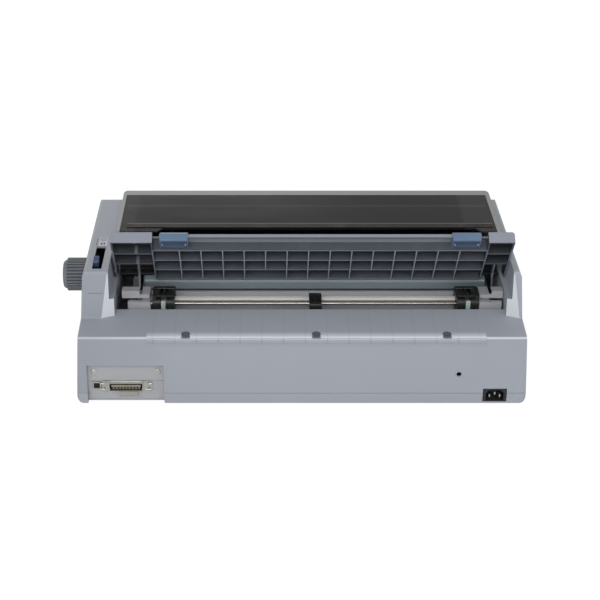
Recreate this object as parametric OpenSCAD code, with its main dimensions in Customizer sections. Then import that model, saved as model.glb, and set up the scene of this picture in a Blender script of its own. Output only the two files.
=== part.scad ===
// Wide-carriage dot matrix printer with a raised rear paper guide and a push tractor.
// The origin is on the floor under the middle of the case. Front is -Y, rear is +Y, up is +Z.

/* [Case] */
// Width of the case at the floor
case_w = 614; // [600:1:640]
// Depth of the case
case_d = 402; // [396:1:420]
// How much each side leans in for each millimetre of height
side_lean = 0.062; // [0.02:0.002:0.08]
// Thickness of the plastic walls
case_wall = 3; // [2.5:0.1:3.5]
// Height of the rubber feet under the case
foot_h = 2; // [1.5:0.1:4]
// Height of the joint between lower and upper case
parting_h = 17.2; // [15:0.1:20]
// Height of the rear wall
rear_wall_h = 103.2; // [98:0.1:106]
// Height of the rear deck where it meets the tractor well
deck_h = 112; // [110:0.5:114]
// Depth of the rear deck, from the rear wall to the well
deck_d = 68; // [60:1:70]
// Height of the side cheeks
cheek_h = 175.5; // [172:0.5:180]
// Distance from the rear wall to the foot of each cheek
cheek_d = 45; // [40:1:50]
// Height of the vertical strip at the foot of the front
front_h = 62; // [55:1:75]
// Distance from the front to the flat top of the cheeks
front_slope_d = 97; // [90:1:100]

/* [Well] */
// Width of the tractor well between the cheeks
well_w = 534; // [530:1:538]
// Sideways place of the middle of the well
well_x = -12; // [-14:0.5:-10]
// Width of the ledge that the lowered paper guide lies in, on each side
ledge_w = 6.6; // [5:0.2:8]
// Height of that ledge
ledge_h = 135; // [133:0.5:137]
// Sideways place of the middle of the paper path
path_x = -20; // [-22:0.5:-18]
// Distance between the two mechanism side frames
frame_w = 484; // [478:1:486]

/* [Rear Lip] */
// Width of the fluted lip on the rear edge
lip_w = 455; // [430:1:460]
// Height of the fluted lip
lip_h = 11; // [8:0.5:14]
// Distance between neighbouring flutes and ribs
rib_pitch = 29.2; // [27:0.2:30]
// Width of each finger recess
recess_w = 12; // [8:0.5:16]

/* [Interface Panel] */
// Width of the recess that holds the sockets
port_w = 104; // [100:1:106]
// Height of the top of that recess
port_h = 59.7; // [56:0.1:64]
// Depth of that recess
port_d = 8; // [6:0.5:10]
// Height of the seam between slot cover and socket panel
port_seam_h = 33; // [33:0.1:36]
// Sideways place of the middle of the recess
port_x = 239; // [236:0.5:241]
// Thickness of the sheet metal plates
sheet_t = 1.2; // [1:0.1:1.6]

/* [Mains] */
// Width of the mains inlet
inlet_w = 32; // [30:0.5:34]
// Height of the mains inlet
inlet_h = 19.2; // [18:0.2:21]
// Sideways place of the mains inlet
inlet_x = -263; // [-268:0.5:-258]
// Diameter of the small round hole above it
peep_d = 7; // [5:0.5:9]

/* [Platen] */
// Diameter of the rubber roller
platen_d = 34; // [30:0.5:35]
// Diameter of its steel shaft
platen_shaft_d = 8; // [7:0.5:9]
// Height of its axis
platen_h = 110; // [108:0.5:112]
// Distance from the rear wall to its axis
platen_dist = 182.6; // [181:0.2:184]
// Diameter of the paper feed knob
knob_d = 47.6; // [42:0.2:50]
// Length of the knob
knob_l = 36; // [28:0.5:40]

/* [Tractor] */
// Width across the flats of the square drive shaft
drive_w = 6; // [5:0.1:7]
// Height of the drive shaft
drive_h = 109; // [108:0.5:110]
// Distance from the rear wall to the drive shaft
drive_dist = 103.7; // [103:0.1:104.5]
// Diameter of the round support shaft
support_d = 3.2; // [2.6:0.1:4]
// Height of the support shaft
support_h = 112; // [111:0.5:113]
// Distance from the rear wall to the support shaft
support_dist = 84.4; // [83.5:0.1:85]
// Width of one tractor
tractor_w = 30.5; // [26:0.5:34]
// Distance between the two tractors as set
tractor_span = 420; // [410:1:424]
// Pins on each sprocket wheel
tractor_pins = 6; // [6:1:6]
// Distance between paper holes
pin_pitch = 12.7; // [12.4:0.1:13]

/* [Printer Cover] */
// Height of the top of the closed cover
cover_h = 183.5; // [181:0.5:186]
// Distance from the front of the case to the cover's front edge
cover_front_d = 79; // [78:1:86]
// Thickness of the cover's plate
cover_t = 3; // [2.5:0.1:4]
// Depth of the smoked window
window_d = 105; // [90:1:108]
// Thickness of the smoked window
window_t = 2.4; // [2:0.1:2.8]
// Width of the paper slot behind the cover
slot_w = 455; // [440:1:458]
// How far the cover opens
cover_open = 70; // [40:1:75]

/* [Paper Guide] */
// Length of the guide along its slope
guide_l = 110; // [104:1:112]
// Thickness of the guide
guide_t = 16.5; // [14:0.5:18]
// Angle of the raised guide above level
guide_tilt = 52; // [45:1:56]
// Distance from the rear wall to the guide's pivot
guide_pivot_dist = 122; // [121:0.5:123]
// Height of the guide's pivot
guide_pivot_h = 139; // [138.5:0.1:139.5]
// Depth of one row of cells under the guide
cell_l = 28.6; // [26:0.2:28.8]
// Width of each blue edge guide
edge_guide_w = 38; // [30:0.5:42]

/* [Hidden] */
$fn = 48;

rear_y = case_d / 2;
front_y = -case_d / 2;
gap = 0.3;                 // clearance between bodies that move past each other
running = 0.06;            // radial clearance of a shaft in its bearing
seam = 0.5;                // visible joint between two casings

case_z = foot_h;
foot_dx = case_w / 2 - 36;
well_x0 = well_x - well_w / 2;
well_x1 = well_x + well_w / 2;
ledge_x0 = well_x0 - ledge_w;
ledge_x1 = well_x1 + ledge_w;
deck_y = rear_y - deck_d;
cheek_foot_y = rear_y - cheek_d;
cheek_back_y = cheek_foot_y - 8;
slope_top_y = front_y + front_slope_d;
facet_dy = 16.6;                   // from the well's rear edge to the facet's foot
facet_turn = 19.9;                 // facet's turn out of the cheek's rear face
facet_lean = 3.6;

frame_t = 2.4;
frame_x0 = path_x - frame_w / 2;      // outer face of the right side frame
frame_x1 = path_x + frame_w / 2;      // outer face of the left side frame
platen_y = rear_y - platen_dist;
frame_y0 = platen_y - 130.4;         // front end of the side frames
drive_y = rear_y - drive_dist;
support_y = rear_y - support_dist;
sprocket_r = tractor_pins * pin_pitch / (2 * PI);

function half_w(z) = case_w / 2 - side_lean * z;
function deck_z(y) = rear_wall_h + (deck_h - rear_wall_h) * (rear_y - y) / deck_d;

// ---- small geometry helpers ----

function unit(v) = v / norm(v);
function flat(p) = [p[0], p[1]];

// points of one corner rounded to radius r
function corner_arc(a, p, b, r) =
    r <= 0 ? [p] :
    let (u = unit(a - p), w = unit(b - p), half = acos(u * w) / 2,
         c = p + unit(u + w) * r / sin(half),
         s = p + u * r / tan(half), e = p + w * r / tan(half),
         a0 = atan2(s[1] - c[1], s[0] - c[0]), a1 = atan2(e[1] - c[1], e[0] - c[0]),
         sweep = ((a1 - a0 + 540) % 360) - 180, n = max(2, ceil(abs(sweep) / 14)))
    [for (k = [0:n]) c + r * [cos(a0 + sweep * k / n), sin(a0 + sweep * k / n)]];

// outline through points [x, y, corner radius]
function rounded(pts) =
    let (n = len(pts))
    [for (i = [0:n - 1])
        each corner_arc(flat(pts[(i + n - 1) % n]), flat(pts[i]), flat(pts[(i + 1) % n]), pts[i][2])];

// the same outline moved inwards by d; the points run anticlockwise
function inset(pts, d) =
    let (n = len(pts))
    [for (i = [0:n - 1])
        let (p = flat(pts[i]), u = unit(p - flat(pts[(i + n - 1) % n])),
             w = unit(flat(pts[(i + 1) % n]) - p), m = [-u[1], u[0]], k = [-w[1], w[0]],
             q = p + d * (m + k) / (1 + m * k), convex = u[0] * w[1] - u[1] * w[0] > 0)
        [q[0], q[1], pts[i][2] <= 0 ? 0 : max(0.4, pts[i][2] + (convex ? -d : d))]];

// a YZ outline carried from x0 to x1
module along_x(x0, x1) translate([x0, 0, 0]) rotate([90, 0, 90]) linear_extrude(x1 - x0) children();
// an XZ outline carried from y0 to y1
module along_y(y0, y1) translate([0, y1, 0]) rotate([90, 0, 0]) linear_extrude(y1 - y0) children();
module along_z(z0, z1) translate([0, 0, z0]) linear_extrude(z1 - z0) children();
module box(lo, hi) translate(lo) cube(hi - lo);
// a round bar along X
module bar_x(x0, x1, y, z, r) translate([x0, y, z]) rotate([0, 90, 0]) cylinder(r = r, h = x1 - x0);
module round_rect(x0, y0, x1, y1, r)
    polygon(rounded([[x0, y0, r], [x1, y0, r], [x1, y1, r], [x0, y1, r]]));

// ---- case outlines ----

// side outline of the whole case, from the front foot round to the front again
function side_outline(z0) = [
    [front_y, z0, 0], [rear_y, z0, 0], [rear_y, rear_wall_h, 3],
    [cheek_foot_y, deck_z(cheek_foot_y), 2], [cheek_back_y, cheek_h, 5],
    [slope_top_y, cheek_h, 7], [front_y, front_h, 12]];

// the outer skin moved in by i, from z0 up
module case_block(i, z0) intersection() {
    along_x(-case_w, case_w) polygon(rounded(inset(side_outline(z0 - i), i)));
    case_prism(i);
}

// the leaning sides and the rounded plan of the case, moved in by i
module case_prism(i) intersection() {
    along_y(-case_d, case_d) polygon(rounded([
        [-half_w(case_z + i) + i, case_z + i, max(1, 9 - i)], [half_w(case_z + i) - i, case_z + i, max(1, 9 - i)],
        [half_w(250) - i, 250, 0], [-half_w(250) + i, 250, 0]]));
    along_z(0, 250) round_rect(-case_w / 2 + i, front_y + i, case_w / 2 - i, rear_y - i, max(1, 9 - i));
}

// the space taken by the cheeks on both sides of the well
module cheek_zone(i) {
    along_y(-case_d, case_d) polygon([
        [well_x1 + i, 0], [case_w, 0], [case_w, 300], [ledge_x1 + i, 300],
        [ledge_x1 + i, ledge_h - i], [well_x1 + i, ledge_h - i]]);
    along_y(-case_d, case_d) polygon([
        [well_x0 - i, 0], [well_x0 - i, ledge_h - i], [ledge_x0 - i, ledge_h - i],
        [ledge_x0 - i, 300], [-case_w, 300], [-case_w, 0]]);
}

// the slanted facet where each cheek turns from its rear face into the well
module cheek_facet(i) intersection() {
    for (s = [-1, 1]) translate([s > 0 ? well_x1 : well_x0, deck_y + facet_dy, deck_z(deck_y + facet_dy)])
        rotate([facet_lean, 0, s * facet_turn]) translate([-60, -i, -30]) cube([120, 60, 130]);
    along_x(-case_w, case_w) polygon([
        [rear_y + 5, deck_z(rear_y + 5) - i], [rear_y + 5, 300],
        [deck_y - 60, 300], [deck_y - 60, deck_z(deck_y - 60) - i]]);
}

module cheek_body(i, z0) difference() {
    intersection() {
        case_block(i, z0);
        cheek_zone(i);
        // top outer edges rounded
        along_y(-case_d, case_d) polygon(rounded([
            [-case_w / 2, 0, 0], [case_w / 2, 0, 0], [half_w(cheek_h - 9) + 0.4 - i, cheek_h - 9, 3],
            [half_w(cheek_h) - 2.5 - i, cheek_h + 0.01 - i, 4], [-half_w(cheek_h) + 2.5 + i, cheek_h + 0.01 - i, 4],
            [-half_w(cheek_h - 9) - 0.4 + i, cheek_h - 9, 3]]));
    }
    cheek_facet(i);
}

// section of the sheet that forms rear wall, deck and the lip hanging into the well
function rear_section() =
    let (t = case_wall, drop = deck_h - 16) [
    [rear_y, parting_h + seam, 0], [rear_y, rear_wall_h, 3], [deck_y, deck_h, 2], [deck_y, drop, 0],
    [deck_y + t, drop, 0], [deck_y + t, deck_h - t - 0.6, 1], [rear_y - t, rear_wall_h - t, 1],
    [rear_y - t, parting_h + seam, 0]];

slope_u = unit([slope_top_y - front_y, cheek_h - front_h]);   // up the front slope
slope_n = [-slope_u[1], slope_u[0]];                          // out of the front slope
cover_front_y = front_y + cover_front_d;
panel_top = [cover_front_y + 1.5, front_h + (cover_front_y + 1.5 - front_y) * slope_u[1] / slope_u[0]];

function front_section() =
    let (t = case_wall, back = panel_top + t * [slope_n[0] * -1, slope_n[1] * -1]) [
    [front_y, parting_h + seam, 0], [front_y + t, parting_h + seam, 0], [front_y + t, front_h - 1.5, 8],
    [back[0], back[1], 0], [panel_top[0], panel_top[1], 0], [front_y, front_h, 12]];

port_x0 = port_x - port_w / 2;
port_x1 = port_x + port_w / 2;
port_y = rear_y - port_d;          // face of the socket panel
inlet_z = case_z + 12.4;           // middle of the mains inlet
peep_x = path_x - 192.5;
peep_z = 46.7;

lip_x0 = path_x + 1 - lip_w / 2;
lip_x1 = path_x + 1 + lip_w / 2;

module inlet_cut() box([inlet_x - inlet_w / 2 - gap, rear_y - 6, inlet_z - inlet_h / 2 - gap],
                       [inlet_x + inlet_w / 2 + gap, rear_y + 2, inlet_z + inlet_h / 2 + gap]);

// openings in the rear wall for the sockets, the inlet and the small hole
module rear_cuts() {
    box([port_x0, port_y - 1, 0], [port_x1, rear_y + 2, port_h]);
    inlet_cut();
    for (s = [-1, 0, 1]) translate([path_x + 1 + s * 6 * rib_pitch, rear_y - 2, deck_z(rear_y) - 2])
        cylinder(d = recess_w, h = 10);
    translate([peep_x, rear_y + 2, peep_z]) rotate([90, 0, 0]) cylinder(d = peep_d, h = 12);
}

// side walls of the socket recess, standing inside the rear wall
module port_sleeve() {
    for (x = [port_x0 - 2, port_x1]) box([x, port_y, parting_h + seam], [x + 2, rear_y - 1, port_h + 2]);
    box([port_x0 - 2, port_y, port_h], [port_x1 + 2, rear_y - 1, port_h + 2]);
}

floor_z = foot_h + case_wall;
chassis_t = 1.6;
frame_z = floor_z + chassis_t;
board_z = 15.8;
board_t = 1.6;
usb_x = port_x + 40;
usb_z = 25;
parallel_x = port_x;
parallel_z = 25.3;
bail_dx = 28.5;
bail_r = 0.8;
screw_dx = 43.6;
screw_z = 47;

lever_slot_y0 = rear_y - 135;
lever_slot_y1 = rear_y - 62;
lever_slot_x = ledge_x1 + 16;
lever_x = lever_slot_x + 2;        // middle of the release lever
lever_w = 7;
lever_slot_w = 13;
lever_pivot_y = rear_y - 106;
lever_pivot_z = 112;
lever_pin_d = 6;

pivot_y = rear_y - guide_pivot_dist;
pivot_z = guide_pivot_h;
pivot_d = 5;

cover_x0 = ledge_x0 + 1;
cover_x1 = ledge_x1 - 1;
cover_pin_y = rear_y - 176;
cover_pin_z = cover_h - 9;
cover_pin_d = 5;
cover_back_y = rear_y - 168;       // rear end of the cover's two wings
window_x0 = cover_x0 + 6.4;
window_x1 = cover_x1 - 5.4;
window_y0 = cover_front_y + 21;
slot_x0 = path_x - 7 - slot_w / 2;
slot_x1 = slot_x0 + slot_w;
slot_y0 = window_y0 + window_d + 17;   // front edge of the paper slot
teeth_n = 150;

guide_x0 = ledge_x0 + 0.6;
guide_x1 = ledge_x1 - 4.4;
guide_u0 = -9.2;                   // lower end, measured along the guide from its pivot
guide_u1 = guide_u0 + guide_l;
guide_v0 = ledge_h - guide_pivot_h + gap;  // underside of the ribs, measured across the guide
guide_v1 = guide_v0 + guide_t;
cell_x0 = guide_x0 + 35;
cell_x1 = guide_x1 - 55.9;
housing_u = guide_u0 + 1.6 * cell_l;  // below this the two end housings are open
rail_u0 = guide_u0 + 3 * cell_l + 1.6;
rail_u1 = guide_u1 - 3;
rail_v0 = guide_v1 - 4;

entry_y = rear_y - 140;            // middle of the paper entry
exit_y = platen_y + 24.6;             // front face of the beam behind the paper slot
rail_y = platen_y - 58.4;          // axis of the carriage shaft
rail_z = platen_h - 26;
rail_d = 8;
platen_l = 444;
knob_x0 = half_w(platen_h - knob_d / 2) + 1.4;

gear_m = 1;
gear_x0 = frame_x1 + 5;
gear_x1 = gear_x0 + 8;
platen_teeth = 42;
tractor_teeth = 30;
idler_teeth = 44;
pinion_teeth = 14;
mesh_gap = 0.15;                   // extra distance between gear centres
// the idler sits below the line from platen to drive shaft, at both centre distances
gear_a = (platen_teeth + idler_teeth) * gear_m / 2 + mesh_gap;
gear_b = (tractor_teeth + idler_teeth) * gear_m / 2 + mesh_gap;
gear_line = [drive_y - platen_y, drive_h - platen_h];
gear_c = norm(gear_line);
gear_s = (gear_a * gear_a - gear_b * gear_b + gear_c * gear_c) / (2 * gear_c);
gear_t = sqrt(gear_a * gear_a - gear_s * gear_s);
gear_dir = gear_line / gear_c;
idler_y = platen_y + gear_s * gear_dir[0] + gear_t * gear_dir[1];
idler_z = platen_h + gear_s * gear_dir[1] - gear_t * gear_dir[0];
platen_to_idler = atan2(idler_z - platen_h, idler_y - platen_y);
idler_to_drive = atan2(drive_h - idler_z, drive_y - idler_y);
idler_to_pinion = -90;
platen_turn = platen_to_idler;
idler_turn = mesh_turn(platen_to_idler, platen_teeth, platen_turn, idler_teeth);
pinion_dist = (pinion_teeth + idler_teeth) * gear_m / 2 + mesh_gap;
pinion_y = idler_y + pinion_dist * cos(idler_to_pinion);
pinion_z = idler_z + pinion_dist * sin(idler_to_pinion);

pan_z = drive_h - 15.6;            // floor of the well under the tractors
table_z = max(drive_h, support_h - 3) + 12;            // surface the paper lies on
flap_z = table_z + 3.2;
flap_dx = tractor_w / 2 - 3.4;
flap_ears = [drive_y - 1, drive_y + 23];

cartridge_z = platen_h - 4;                 // underside of the ribbon cartridge
tip_y = platen_y - 18.4;           // ends of the cartridge arms
head_y = platen_y - 54.4;          // middle of the print head
thick_y = platen_y - 30;
thick_z = platen_h - 6;

pulley_r = 7;
pulley_y = rail_y - 22;
pulley_z = rail_z - 24;
pulley_x0 = frame_x0 + frame_t + 14;
pulley_x1 = frame_x1 - frame_t - 20;
carriage_x = path_x - 170;

panel_w = 150;
panel_l = 36;
panel_x = -170;
panel_s = 74;
button_w = 18;
switch_x = 250;
switch_z = 42;
switch_w = 14;
switch_h = 22;

// ---- casing ----

module lower_case() color([0.63, 0.64, 0.66]) difference() {
    union() {
        difference() {
            intersection() {
                case_prism(0);
                box([-case_w, -case_d, 0], [case_w, case_d, parting_h]);
            }
            intersection() {
                case_prism(case_wall);
                box([-case_w, -case_d, 0], [case_w, case_d, parting_h + 5]);
            }
        }
        // tongue that locates the upper case
        difference() {
            union() {
                intersection() {
                    case_prism(case_wall - 0.5);
                    box([-case_w, -case_d, parting_h - 5], [case_w, case_d, parting_h - 0.6]);
                }
                intersection() {
                    case_prism(case_wall + 0.25);
                    box([-case_w, -case_d, parting_h - 5], [case_w, case_d, parting_h + 3]);
                }
            }
            case_prism(case_wall + 1.8);
        }
    }
    box([port_x0, port_y, 0], [port_x1, rear_y + 2, parting_h + 9]);
    box([port_x0 - 6, port_y - 3, parting_h - 3], [port_x1 + 6, rear_y - case_wall, parting_h + 9]);
    inlet_cut();
    box([inlet_x - inlet_w / 2 - 3, rear_y - 9, floor_z], [inlet_x + inlet_w / 2 + 3, rear_y - case_wall, 40]);
}

module rubber_feet() color([0.12, 0.12, 0.13])
    for (p = [[-foot_dx, front_y + 41], [foot_dx, front_y + 41], [-foot_dx, rear_y - 51], [foot_dx, rear_y - 51],
              [0, 0]]) translate([p[0], p[1], 0]) cylinder(r1 = 8.4, r2 = 9, h = foot_h);

module upper_case() color([0.63, 0.64, 0.67]) {
    difference() {
        union() {
            // cheeks
            difference() {
                cheek_body(0, parting_h + seam);
                cheek_body(case_wall, -1);
            }
            // rear wall and deck
            intersection() {
                case_prism(0);
                along_x(-case_w, case_w) polygon(rounded(rear_section()));
            }
            // front strip and slope
            intersection() {
                case_prism(0);
                along_x(ledge_x0 - 1, ledge_x1 + 1) polygon(rounded(front_section()));
            }
            fluted_lip();
            port_sleeve();
        }
        // the rear sheet ends at the side walls and the cheeks stay open inside
        rear_cuts();
        // below the well the inner cheek walls stop
        intersection() {
            case_block(case_wall + 0.01, -1);
            for (x = [well_x0 - case_wall - 1, well_x1 - 1])
                box([x, front_y, 0], [x + case_wall + 2, rear_y, 90]);
        }
        // paper release lever
        box([lever_slot_x - lever_slot_w / 2, lever_slot_y0, cheek_h - 8],
            [lever_slot_x + lever_slot_w / 2, lever_slot_y1, cheek_h + 5]);
        // platen shaft through the left cheek
        bar_x(well_x1 - 2, case_w / 2 + 2, platen_y, platen_h, platen_shaft_d / 2 + 1.2);
        // hinge pins of the cover and the paper guide
        for (p = [[cover_pin_y, cover_pin_z, cover_pin_d], [pivot_y, pivot_z, pivot_d]]) {
            bar_x(ledge_x1 - 1, ledge_x1 + case_wall + 1, p[0], p[1], p[2] / 2 + running);
            bar_x(ledge_x0 - case_wall - 1, ledge_x0 + 1, p[0], p[1], p[2] / 2 + running);
        }
        // control panel and mains switch
        on_slope(panel_x, panel_s) translate([-panel_w / 2 + 4, -panel_l / 2 + 4, -9])
            cube([panel_w - 8, panel_l - 8, 14]);
        box([switch_x - switch_w / 2 - gap, front_y - 2, switch_z - switch_h / 2 - gap],
            [switch_x + switch_w / 2 + gap, front_y + case_wall + 1, switch_z + switch_h / 2 + gap]);
        // short engraved line on the back of the left cheek
        along_x(ledge_x1 + 7.4, ledge_x1 + 27.4) polygon([
            [cheek_foot_y - 5.2, 143.9], [cheek_foot_y + 4, 143.9], [cheek_foot_y + 4, 145.1],
            [cheek_foot_y - 5.2, 145.1]]);
    }
    // post that the release lever swings on
    bar_x(well_x1 + case_wall - 0.5, lever_x - lever_w / 2 - 0.6, lever_pivot_y, lever_pivot_z, 6);
    bar_x(well_x1 + case_wall - 1, lever_x + lever_w / 2 + 2, lever_pivot_y, lever_pivot_z, lever_pin_d / 2);
    // ears that carry the mains switch
    for (s = [-1, 1]) difference() {
        box([switch_x + s * (switch_w / 2 + 2) - 1.5, front_y + 2, switch_z - 7],
            [switch_x + s * (switch_w / 2 + 2) + 1.5, front_y + 16, switch_z + 7]);
        bar_x(switch_x - switch_w, switch_x + switch_w, front_y + 9, switch_z, 2 + running);
    }
}

// lip with flutes and three finger recesses on the rear edge of the deck
module fluted_lip() difference() {
    along_x(lip_x0, lip_x1) polygon(rounded([
        [rear_y - 1.5, rear_wall_h - lip_h, 0], [rear_y + 1.2, rear_wall_h - lip_h, 0.8],
        [rear_y + 1.2, rear_wall_h - 1.5, 1.2], [rear_y - 1.5, rear_wall_h - 0.4, 0]]));
    for (k = [-7:7]) translate([path_x + 1 + (k + 0.5) * rib_pitch, rear_y + 1.7, 0])
        cylinder(r = 1, h = rear_wall_h + 1);
}

module slot_cover() color([0.66, 0.66, 0.67]) difference() {
    box([port_x0 - 1.6, port_y - sheet_t, port_seam_h + 0.2], [port_x1 + 1.6, port_y, port_h + 1.6]);
    for (s = [-1, 1]) translate([port_x + s * screw_dx, port_y + 1, screw_z]) rotate([90, 0, 0])
        cylinder(r = 1.7, h = 4);
}

module slot_cover_screws() color([0.75, 0.75, 0.76])
    for (s = [-1, 1]) translate([port_x + s * screw_dx, port_y, screw_z]) {
        rotate([-90, 0, 0]) cylinder(r1 = 3.6, r2 = 2.6, h = 1.8);
        rotate([90, 0, 0]) cylinder(r = 1.6, h = 5);
    }

module socket_panel() color([0.66, 0.66, 0.67]) difference() {
    union() {
        box([port_x0 - 1.6, port_y - sheet_t, floor_z + 0.2], [port_x1 + 1.6, port_y, port_seam_h - 0.2]);
        box([port_x0 + 39, port_y - 0.2, 9.5], [port_x0 + 64, port_y + 1.4, 16.6]);
    }
    box([usb_x - 6.3, port_y - 3, usb_z - 6.3], [usb_x + 6.3, port_y + 1, usb_z + 6.3]);
    along_y(port_y - 3, port_y + 1) parallel_shape(0.9);
}

// the slanted-sided outline of the parallel socket, grown by g
module parallel_shape(g) translate([parallel_x, parallel_z]) polygon(rounded([
    [-22 - g, -5.9 - g, 2], [22 + g, -5.9 - g, 2], [23.2 + g, 5.9 + g, 2], [-23.2 - g, 5.9 + g, 2]]));

module usb_socket() color([0.82, 0.82, 0.8]) {
    difference() {
        union() {
            box([usb_x - 6, port_y - 15, board_z + board_t], [usb_x + 6, port_y - 2, usb_z + 6]);
            box([usb_x - 5.9, port_y - 4, usb_z - 5.9], [usb_x + 5.9, port_y + 0.8, usb_z + 5.9]);
        }
        box([usb_x - 4.3, port_y - 9, usb_z - 4], [usb_x + 4.3, port_y + 2, usb_z + 4]);
    }
    box([usb_x - 2.8, port_y - 9.5, usb_z - 1.5], [usb_x + 2.8, port_y - 1, usb_z + 1.5]);
}

module parallel_socket() color([0.78, 0.78, 0.76]) {
    difference() {
        union() {
            along_y(port_y - 4, port_y + 5.5) parallel_shape(0.5);
            box([parallel_x - 34, port_y - 4, parallel_z - 7.4], [parallel_x + 34, port_y - sheet_t, parallel_z + 7.4]);
            box([parallel_x - 24, port_y - 14, board_z + board_t], [parallel_x + 24, port_y - 3, parallel_z + 6]);
            // ears for the wire bails
            for (s = [-1, 1], z = [-1, 1])
                translate([parallel_x + s * bail_dx - 2, port_y, parallel_z + z * 6.2 - 1]) cube([4, 5.4, 2]);
            box([parallel_x - 33, port_y, parallel_z - 7.4], [parallel_x + 33, port_y + 1.2, parallel_z + 7.4]);
        }
        along_y(port_y - 2.6, port_y + 7) parallel_shape(-0.4);
        for (s = [-1, 1]) translate([parallel_x + s * bail_dx, port_y + 3.4, parallel_z - 9])
            cylinder(r = bail_r + running, h = 18);
    }
    // the tongue that carries the contacts
    box([parallel_x - 20, port_y - 3, parallel_z - 2], [parallel_x + 20, port_y + 4.6, parallel_z + 2]);
}

// wire bail that swings round to hold the plug
module wire_bail(s) color([0.8, 0.8, 0.8]) {
    translate([parallel_x + s * bail_dx, port_y + 3.4, parallel_z]) {
        for (z = [-1, 1]) {
            mirror([0, 0, z > 0 ? 0 : 1]) translate([0, 0, 4.3]) cylinder(r = bail_r, h = 2.6);
            translate([0, 0, z * 4.3]) rotate([0, s * 90, 0]) cylinder(r = bail_r, h = 6.4);
            translate([0, 0, z * 4.3]) sphere(r = bail_r + 0.02);
        }
        translate([s * 6.4, 0, -4.3]) cylinder(r = bail_r, h = 8.6);
        for (z = [-1, 1]) translate([s * 6.4, 0, z * 4.3]) sphere(r = bail_r + 0.02);
    }
}
module left_wire_bail() wire_bail(1);
module right_wire_bail() wire_bail(-1);

// recessed three-pin mains inlet
module inlet_shape(g) translate([inlet_x, inlet_z]) polygon([
    [-12.2 - g, -8 - g], [12.2 + g, -8 - g], [12.2 + g, 3.4 + g], [8 + g, 8 + g], [-8 - g, 8 + g],
    [-12.2 - g, 3.4 + g]]);

module ac_inlet() color([0.08, 0.08, 0.09]) {
    difference() {
        union() {
            box([inlet_x - inlet_w / 2, rear_y - case_wall - 1, inlet_z - inlet_h / 2],
                [inlet_x + inlet_w / 2, rear_y + 0.4, inlet_z + inlet_h / 2]);
            along_y(rear_y - 24, rear_y - 2) inlet_shape(1.4);
        }
        along_y(rear_y - 16, rear_y + 2) inlet_shape(0);
    }
    for (p = [[-7, -1.4], [7, -1.4], [0, 2.4]])
        box([inlet_x + p[0] - 1, rear_y - 17, inlet_z + p[1] - 2], [inlet_x + p[0] + 1, rear_y - 1.5, inlet_z + p[1] + 2]);
}

// ---- electrics and chassis ----

module main_board() color([0.1, 0.35, 0.2]) difference() {
    union() {
        box([40, deck_y - 4, board_z], [port_x1 + 1, port_y - 1.8, board_z + board_t]);
        for (x = [48, 165, 285], y = [deck_y + 4, port_y - 14])
            translate([x, y, floor_z]) cylinder(r = 3, h = board_z - floor_z + 0.2);
        for (k = [0:4]) box([60 + k * 24, deck_y + 12, board_z + 1], [76 + k * 24, deck_y + 34, board_z + 4]);
        box([176, deck_y + 4, board_z + 1], [196, deck_y + 40, board_z + 20]);
        for (k = [0:5]) box([178 + k * 3, deck_y + 3, board_z + 19], [179.4 + k * 3, deck_y + 41, board_z + 34]);
        for (x = [215, 232]) translate([x, deck_y + 14, board_z + 1]) cylinder(r = 6, h = 20);
    }
}

module power_supply() color([0.6, 0.6, 0.62]) {
    difference() {
        box([-286, deck_y - 4, floor_z], [-110, rear_y - 26, 62]);
        for (k = [0:8]) box([-270 + k * 17, deck_y - 6, 20], [-262 + k * 17, deck_y + 1, 50]);
    }
}

module chassis_plate() color([0.7, 0.71, 0.72]) difference() {
    union() {
        pulley_post();
        box([frame_x0 - 10, front_y + 51, floor_z], [frame_x1 + 12, support_y + 6, floor_z + chassis_t]);
        box([frame_x0 - 10, front_y + 51, floor_z], [frame_x1 + 12, front_y + 52.6, floor_z + 16]);
    }
    for (x = [-200:80:200], y = [-100, -10, 60]) translate([x, y, 0]) cylinder(r = 12, h = 20);
}

// the plate that carries all shafts at one side
module frame_plate(x0, x1) difference() {
    along_x(x0, x1) polygon(rounded([
        [frame_y0, frame_z, 0], [support_y + 8, frame_z, 0], [support_y + 8, support_h + 7, 6],
        [platen_y + 34, platen_h + 6, 8], [platen_y + 24, platen_h + 17, 6], [platen_y - 18, platen_h + 17, 8],
        [platen_y - 40, cartridge_z - gap, 6], [frame_y0, cartridge_z - gap, 8]]));
    bar_x(x0 - 1, x1 + 1, platen_y, platen_h, platen_shaft_d / 2 + running);
    bar_x(x0 - 1, x1 + 1, drive_y, drive_h, drive_w / 2 - 0.1 + running);
    bar_x(x0 - 1, x1 + 1, support_y, support_h, support_d / 2 + 0.02);
    bar_x(x0 - 1, x1 + 1, rail_y, rail_z, rail_d / 2 + 0.02);
    for (k = [0:3]) let (y = frame_y0 + 16 + k * 56) along_x(x0 - 1, x1 + 1)
        round_rect(y, 22, y + 36, 46, 8);
}

module left_side_frame() color([0.72, 0.73, 0.74]) {
    difference() {
        union() {
            frame_plate(frame_x1 - frame_t, frame_x1);
            // foot flange
            box([frame_x1, frame_y0, frame_z], [frame_x1 + 8, support_y + 8, frame_z + 1.6]);
            // stud of the idler gear
            bar_x(frame_x1 - 0.5, gear_x1 + 3, idler_y, idler_z, 3);
        }
        bar_x(frame_x1 - 5, frame_x1 + 5, pinion_y, pinion_z, 6);
    }
}
module right_side_frame() color([0.72, 0.73, 0.74]) {
    frame_plate(frame_x0, frame_x0 + frame_t);
    box([frame_x0 - 8, frame_y0, frame_z], [frame_x0, support_y + 8, frame_z + 1.6]);
    // stud of the paper thickness lever
    bar_x(frame_x0 - 7, frame_x0 + 0.5, thick_y, thick_z, 2.5);
}

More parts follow.
